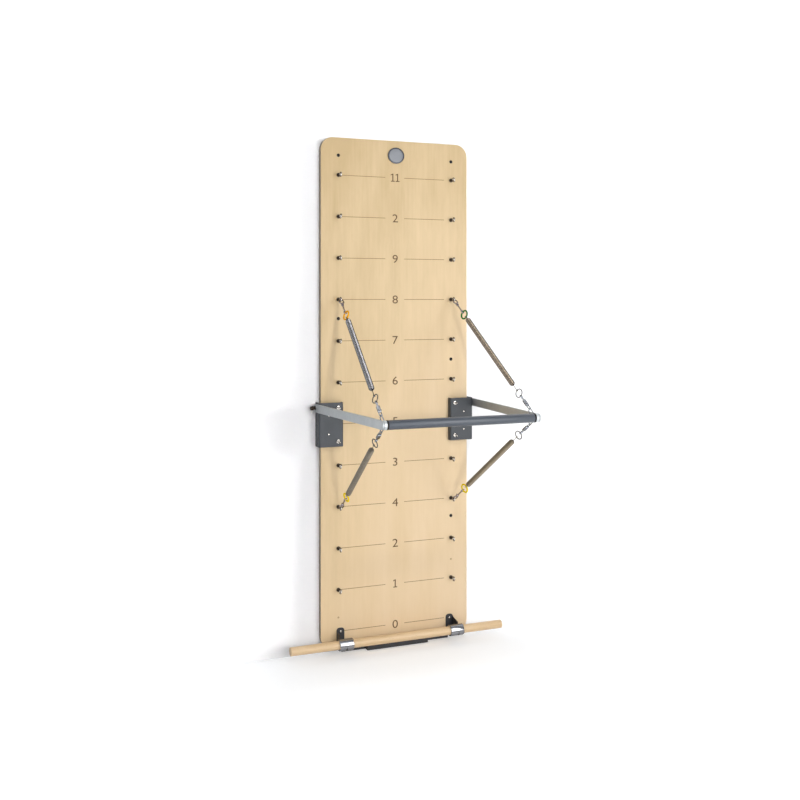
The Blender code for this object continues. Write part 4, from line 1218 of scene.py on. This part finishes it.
# %% Screws in the arm plates
PLATE_SCREW_X = 0.290
PLATE_SCREW_RISE = 0.036
PLATE_SCREW_DROPS = {"left": 0.0, "right": 0.006}
PLATE_EYE_X = 0.251
PLATE_EYE_RISE = 0.066
PLATE_EYE_RADIUS = 0.0072
PLATE_EYE_HEIGHT = 0.0120
PLATE_EYE_WIRE_RADIUS = 0.0017
PLATE_EYE_TURNS = {"upper": math.radians(70), "lower": math.radians(25)}
LEVELS = {"upper": 1, "lower": -1}
plate_face = BOARD_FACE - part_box("arm_plate_left")[0].y
plate_z = row_height(PLATE_ROW)
oval = [(0.85 * u, 1.2 * v) for u, v in circle((0, 0), PLATE_EYE_RADIUS, 28)]
plane = (PLATE_EYE_HEIGHT * Z_AXIS, Y_AXIS, Z_AXIS)
loop = flat_wire(oval, plane, PLATE_EYE_WIRE_RADIUS, closed=True)
foot = stepped((0, 0), (0.0078, 0, 0.0018), (0.0036, 0.0026), (0.0028, 0.0042), (0, 0.0042))
plate_eye = united(turned(eased(foot, 0.0005), 28), loop)
for side_name, side in SIDES.items():
    for level, way in LEVELS.items():
        rise = way * PLATE_SCREW_RISE
        place = on_board(side * PLATE_SCREW_X, plate_z + rise - PLATE_SCREW_DROPS[side_name],
                         plate_face, turn=side + rise * 20)
        piece(f"plate_screw_{level}_{side_name}", moved(small_screw, place), "steel", "frame")
    for level, way in LEVELS.items():
        place = on_board(side * PLATE_EYE_X, plate_z + way * PLATE_EYE_RISE, plate_face,
                         PLATE_EYE_TURNS[level])
        piece(f"plate_eye_{level}_{side_name}", moved(plate_eye, place), "steel", "frame")

# %% [markdown]
# ## Clamps and their screws
# Each chromed clamp wraps the dowel and is pinched by one screw in front. Eased rims, two seams
# along the dowel and the slot beside the screw break up the shine, which is what makes a chromed
# part look bent from sheet.

# %% Clamps
CLAMP_WALL = 0.0057
CLAMP_SEAM_DEPTH = 0.0036
CLAMP_SEAMS = ((42, 0.0011), (-2, 0.0006))
CLAMP_SLOT_RISE = -42
CLAMP_SLOT_REACH = 0.0130
CLAMP_SLOT_HALF_WIDTH = 0.0008
CLAMP_SCREW_RISE = -38
CLAMP_SLOT_SHIFTS = {"left": 0.0, "right": 0.0050}


def around_dowel(rise):
    """Turns a shape that points along X until it points this many degrees above the room."""
    return Matrix.Rotation(-math.radians(90 + rise), 4, "Z")


def clamp_cut(outer, rise, across, low, high):
    """A cutter that opens the sleeve's skin, from low to high along the dowel."""
    outline = box_outline((outer - CLAMP_SEAM_DEPTH, 2 * outer), (-across, across))
    return moved(cut_sheet(outline, low, high), around_dowel(rise))


for side_name, shift in CLAMP_SLOT_SHIFTS.items():
    low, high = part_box(f"dowel_clamp_{side_name}")
    outer, half = (high.z - low.z) / 2, (high.x - low.x) / 2
    lay = along_x(1, (low + high) / 2)
    sleeve = pipe(outer - CLAMP_WALL, outer, -half, half, 0.0016, 4)
    seams = [clamp_cut(outer, rise, across, -2 * half, 2 * half) for rise, across in CLAMP_SEAMS]
    slot = clamp_cut(outer, CLAMP_SLOT_RISE, CLAMP_SLOT_REACH, shift - CLAMP_SLOT_HALF_WIDTH,
                     shift + CLAMP_SLOT_HALF_WIDTH)
    mesh = moved(hollowed(sleeve, *seams, slot), lay)
    piece(f"chrome_clamp_{side_name}", mesh, "chrome", "frame", f"dowel_clamp_{side_name}")
    stand = lay @ around_dowel(CLAMP_SCREW_RISE) @ Matrix.Translation((outer - 0.0008, 0, shift))
    stand @= Matrix.Rotation(math.pi / 2, 4, "Y")
    piece(f"clamp_screw_{side_name}", moved(small_screw, stand), "dark_steel", "frame")

# %% Bracket screws
BRACKET_SHEET = 0.003
BRACKET_SCREW_Z = -0.936
for side_name, side in SIDES.items():
    low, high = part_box(f"dowel_bracket_{side_name}")
    place = on_board((low.x + high.x) / 2, BRACKET_SCREW_Z, BRACKET_SHEET + SEAT_GAP,
                     turn=0.6 * side)
    piece(f"bracket_screw_{side_name}", moved(cross_screw, place), "steel", "frame")

# %% [markdown]
# ## Numerals, lines and badge
# The rows are numbered in plain thin figures, burnt into the veneer with a line to each eyebolt.
# A text object gives the figures, turned to a mesh so that they can be laid a tenth of a
# millimetre proud of the board. The badge at the top stays blank: a grey disc with a raised rim.

# %% Numerals and row lines
NUMERALS = ("0", "1", "2", "4", "3", "5", "6", "7", "8", "9", "2", "11")
NUMERAL_HEIGHT = 0.032
NUMERAL_STRETCH = 1.15
NUMERAL_X = -0.003
ONE_OUTLINE = ((-0.26, 0), (0.26, 0), (0.26, 0.11), (0.07, 0.11), (0.07, 1), (-0.05, 1),
               (-0.27, 0.89), (-0.27, 0.77), (-0.07, 0.86), (-0.07, 0.11), (-0.26, 0.11))
ONE_SPACING = 0.64
LINE_ENDS = {"left": (-0.230, -0.045), "right": (0.036, 0.212)}
LINE_WIDTH = 0.0020
PROUD = 0.0001


def flat_mesh(outlines):
    """Flat faces on z = 0 that look along +Z."""
    bm = bmesh.new()
    for outline in outlines:
        bm.faces.new([bm.verts.new((x, y, 0)) for x, y in outline]).normal_update()
    bmesh.ops.triangulate(bm, faces=bm.faces)
    return mesh_of(bm)


def figures_mesh(text):
    """Round figures from a text object, ones with a flag and a foot from an outline."""
    if set(text) == {"1"}:
        return flat_mesh([[(x + k * ONE_SPACING, y) for x, y in ONE_OUTLINE]
                          for k in range(len(text))])
    curve = bpy.data.curves.new("figures", "FONT")
    curve.body = text
    mesh = final_mesh(linked("figures", curve))
    mesh.transform(Matrix.Diagonal((NUMERAL_STRETCH, 1, 1, 1)))
    return mesh


def numeral_mesh(text):
    """Figures of the set height, centred on the origin."""
    mesh = figures_mesh(text)
    xs, ys = ([v.co[k] for v in mesh.vertices] for k in (0, 1))
    centre = Matrix.Translation((-(max(xs) + min(xs)) / 2, -(max(ys) + min(ys)) / 2, 0))
    mesh.transform(Matrix.Scale(NUMERAL_HEIGHT / (max(ys) - min(ys)), 4) @ centre)
    return mesh


for row, text in enumerate(NUMERALS):
    place = on_board(NUMERAL_X, row_height(row), PROUD)
    piece(f"numeral_row_{row:02d}", moved(numeral_mesh(text), place), "burnt", "frame")
    for side_name, ends in LINE_ENDS.items():
        mesh = flat_mesh([box_outline(ends, (-LINE_WIDTH / 2, LINE_WIDTH / 2))])
        place = on_board(0, row_height(row), PROUD)
        piece(f"row_line_{side_name}_{row:02d}", moved(mesh, place), "line", "frame")
print("numerals", len(NUMERALS))

# %% Badge
BADGE_RADIUS = 0.032
BADGE_RIM_WIDTH = 0.0050
BADGE_STRETCH = 1.1
BADGE_Z = 0.941
place = on_board(0.0, BADGE_Z, PROUD) @ Matrix.Diagonal((BADGE_STRETCH, 1, 1, 1))
inner = BADGE_RADIUS - BADGE_RIM_WIDTH
disc = turned(eased([(0, 0), (inner, 0), (inner, 0.0034), (0.012, 0.0036), (0, 0.0037)],
                    0.0004), 72)
rim = turned(eased([(inner, 0), (BADGE_RADIUS, 0), (BADGE_RADIUS, 0.0040), (inner, 0.0050)],
                   0.0005, 3, closed=True), 72, closed=True)
piece("badge_disc", moved(disc, place), "badge", "frame")
piece("badge_rim", moved(rim, place), "badge_rim", "frame")

# %% [markdown]
# ## Studio
# A white wall and floor, a broad soft light from the front, a small one beside it that lays the
# pale shadows of the springs on the board, a weaker one from above that lets every eyebolt drop a
# short shadow, and one low light from the right that leaves the pale shadow on the wall. A wide
# window in front is seen by shiny surfaces alone: it draws the bright line along springs and
# chrome. The wall and floor add a little light of their own, but only towards the camera and in
# reflections, so that they read as white paper while the shadows stay.
# The wall has a rounded hole where the board covers it, and is left out when seen from behind.

# %% Wall and floor
WALL_Y = 0.001
FLOOR_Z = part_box("base_foot")[0].z
STAGE_HALF_WIDTH = 9.0
STAGE_DEPTH = 9.0
STAGE_TOP = 6.0
HOLE_INSET = 0.003
HOLE_CORNER_RADIUS = 0.047
GLOW_START = 0.10
GLOW_END = 0.65
FAR_GLOW = 0.6


def paper_finish(name, color, glow, one_sided):
    """White paper with a glow for the camera and in reflections, least of all beside the board."""
    finish = Finish(name)
    rays = finish.add("LightPath")
    for output in ("Is Glossy Ray", "Is Transmission Ray"):
        rays = rays.math("MAXIMUM", finish.add("LightPath", output=output))
    sideways, forwards, height = (abs(value) for value in axes_of(finish))
    ahead = height - board_high.z if one_sided else forwards - abs(dowel_low.y)
    level = finish.add("MapRange", {"interpolation_type": "SMOOTHSTEP"}, {
        "Value": (sideways - board_high.x).math("MAXIMUM", ahead),
        "From Min": GLOW_START, "From Max": GLOW_END, "To Min": glow, "To Max": FAR_GLOW})
    paper = finish.add("BsdfDiffuse", None, {"Color": color})
    light = finish.add("Emission", None, {"Color": (1, 1, 1, 1), "Strength": rays * level})
    shader = finish.add("AddShader", None, {0: paper, 1: light})
    if one_sided:
        back = finish.add("NewGeometry", output="Backfacing")
        clear = finish.add("BsdfTransparent")
        shader = finish.add("MixShader", None, {0: back, 1: shader, 2: clear})
    return finish.done(shader)


def stage_piece(name, faces, finish):
    """A flat stage piece from its corner points."""
    bm = bmesh.new()
    for corners in faces:
        bm.faces.new([bm.verts.new(c) for c in corners])
    bmesh.ops.remove_doubles(bm, verts=bm.verts, dist=1e-6)
    item = linked(name, mesh_of(bm, name))
    item.data.materials.append(finish)
    return item


def wall_faces():
    """Faces that run from the rounded hole behind the board to the wall's own corners."""
    inner, outer = [], []
    u_middle, v_middle = (reach - HOLE_INSET - HOLE_CORNER_RADIUS for reach in board_high.xz)
    for quarter, (u_side, v_side) in enumerate(((1, 1), (-1, 1), (-1, -1), (1, -1))):
        start, centre = 90 * quarter, (u_side * u_middle, v_side * v_middle)
        inner += arc(centre, HOLE_CORNER_RADIUS, start, start + 90, 8)
        corner = (u_side * STAGE_HALF_WIDTH, STAGE_TOP if v_side > 0 else FLOOR_Z)
        outer += [corner] * (len(inner) - len(outer))
    faces = []
    for k in range(len(inner)):
        after = (k + 1) % len(inner)
        corners = dict.fromkeys((inner[k], inner[after], outer[after], outer[k]))
        faces.append([(u, WALL_Y, v) for u, v in reversed(corners)])
    return faces


floor_edges = (-STAGE_HALF_WIDTH, STAGE_HALF_WIDTH), (-STAGE_DEPTH, STAGE_DEPTH)
wall_paper = paper_finish("wall_paper", (0.69, 0.69, 0.695, 1), glow=0.05, one_sided=True)
floor_paper = paper_finish("floor_paper", (0.785, 0.80, 0.82, 1), glow=0.34, one_sided=False)
paper_wall = stage_piece("paper_wall", wall_faces(), wall_paper)
stage_piece("paper_floor", [[(x, y, FLOOR_Z) for x, y in box_outline(*floor_edges)]], floor_paper)

# %% Lights
FRONT_AIM = Vector((0, 0, 0.05))


def soft_light(name, location, width, height, level, shines=True, mirrored=True):
    """A lamp aimed at the board. Its level is what white paper facing it would show."""
    lamp = bpy.data.lights.new(name, "AREA")
    way = FRONT_AIM - Vector(location)
    lamp.shape = "RECTANGLE"
    lamp.size = width
    lamp.size_y = height
    lamp.energy = level * (math.pi * way.length) ** 2
    item = linked(name, lamp)
    item.location = location
    item.rotation_euler = way.to_track_quat("-Z", "Y").to_euler()
    item.visible_camera = False
    item.visible_diffuse = shines
    item.visible_glossy = mirrored


soft_light("key_light", (-0.3, -4.4, 0.3), 0.22, 0.22, 0.17, mirrored=False)
soft_light("front_light", (1.6, -3.8, 0.1), 1.5, 3.6, 0.37)
soft_light("top_light", (0.0, -3.2, 2.6), 0.5, 0.3, 0.14, mirrored=False)
soft_light("mirrored_window", (0.8, -3.9, 0.6), 2.6, 4.6, 0.60, shines=False)

# %% Light along the wall
WALL_LIGHT_RISE = math.radians(10)
WALL_LIGHT_TILT = math.radians(8)
WALL_LIGHT_SPREAD = math.radians(16)
WALL_LIGHT_LEVEL = 0.38
sun = bpy.data.lights.new("wall_light", "SUN")
sun.angle = WALL_LIGHT_SPREAD
sun.energy = WALL_LIGHT_LEVEL * math.pi / math.sin(WALL_LIGHT_RISE)
wall_light = linked("wall_light", sun)
x, z = (math.cos(WALL_LIGHT_RISE) * share for share in rolled(WALL_LIGHT_TILT).xy)
towards = Vector((x, -math.sin(WALL_LIGHT_RISE), z))
wall_light.rotation_euler = towards.to_track_quat("Z", "Y").to_euler()
lit_by_it = bpy.data.collections.new("lit_by_wall_light")
lit_by_it.objects.link(paper_wall)
wall_light.light_linking.receiver_collection = lit_by_it

# %% Room light
world = bpy.data.worlds.new("soft_room")
world.use_nodes = True
background = world.node_tree.nodes["Background"]
background.inputs["Color"].default_value = (1, 1, 1, 1)
background.inputs["Strength"].default_value = 0.35
bpy.context.scene.world = world
bpy.context.scene.view_settings.view_transform = "Standard"

# %% [markdown]
# ## Camera
# The camera stands at the height where the lines of the picture run level, to the left of the
# board and turned right. Its lens and place were worked out from the rows of eyebolts.

# %% Camera
CAMERA_PLACE = (-1.5333, -3.8192, 0.361)
CAMERA_TURN = math.radians(22.22)
CAMERA_LENS = 45.98
CAMERA_SENSOR = 36
CAMERA_SHIFT = -0.1244
camera_data = bpy.data.cameras.new("photo_camera")
camera_data.lens = CAMERA_LENS
camera_data.sensor_width = CAMERA_SENSOR
camera_data.shift_y = CAMERA_SHIFT
camera = linked("photo_camera", camera_data)
camera.location = CAMERA_PLACE
camera.rotation_euler = (math.pi / 2, 0, -CAMERA_TURN)
bpy.context.scene.camera = camera
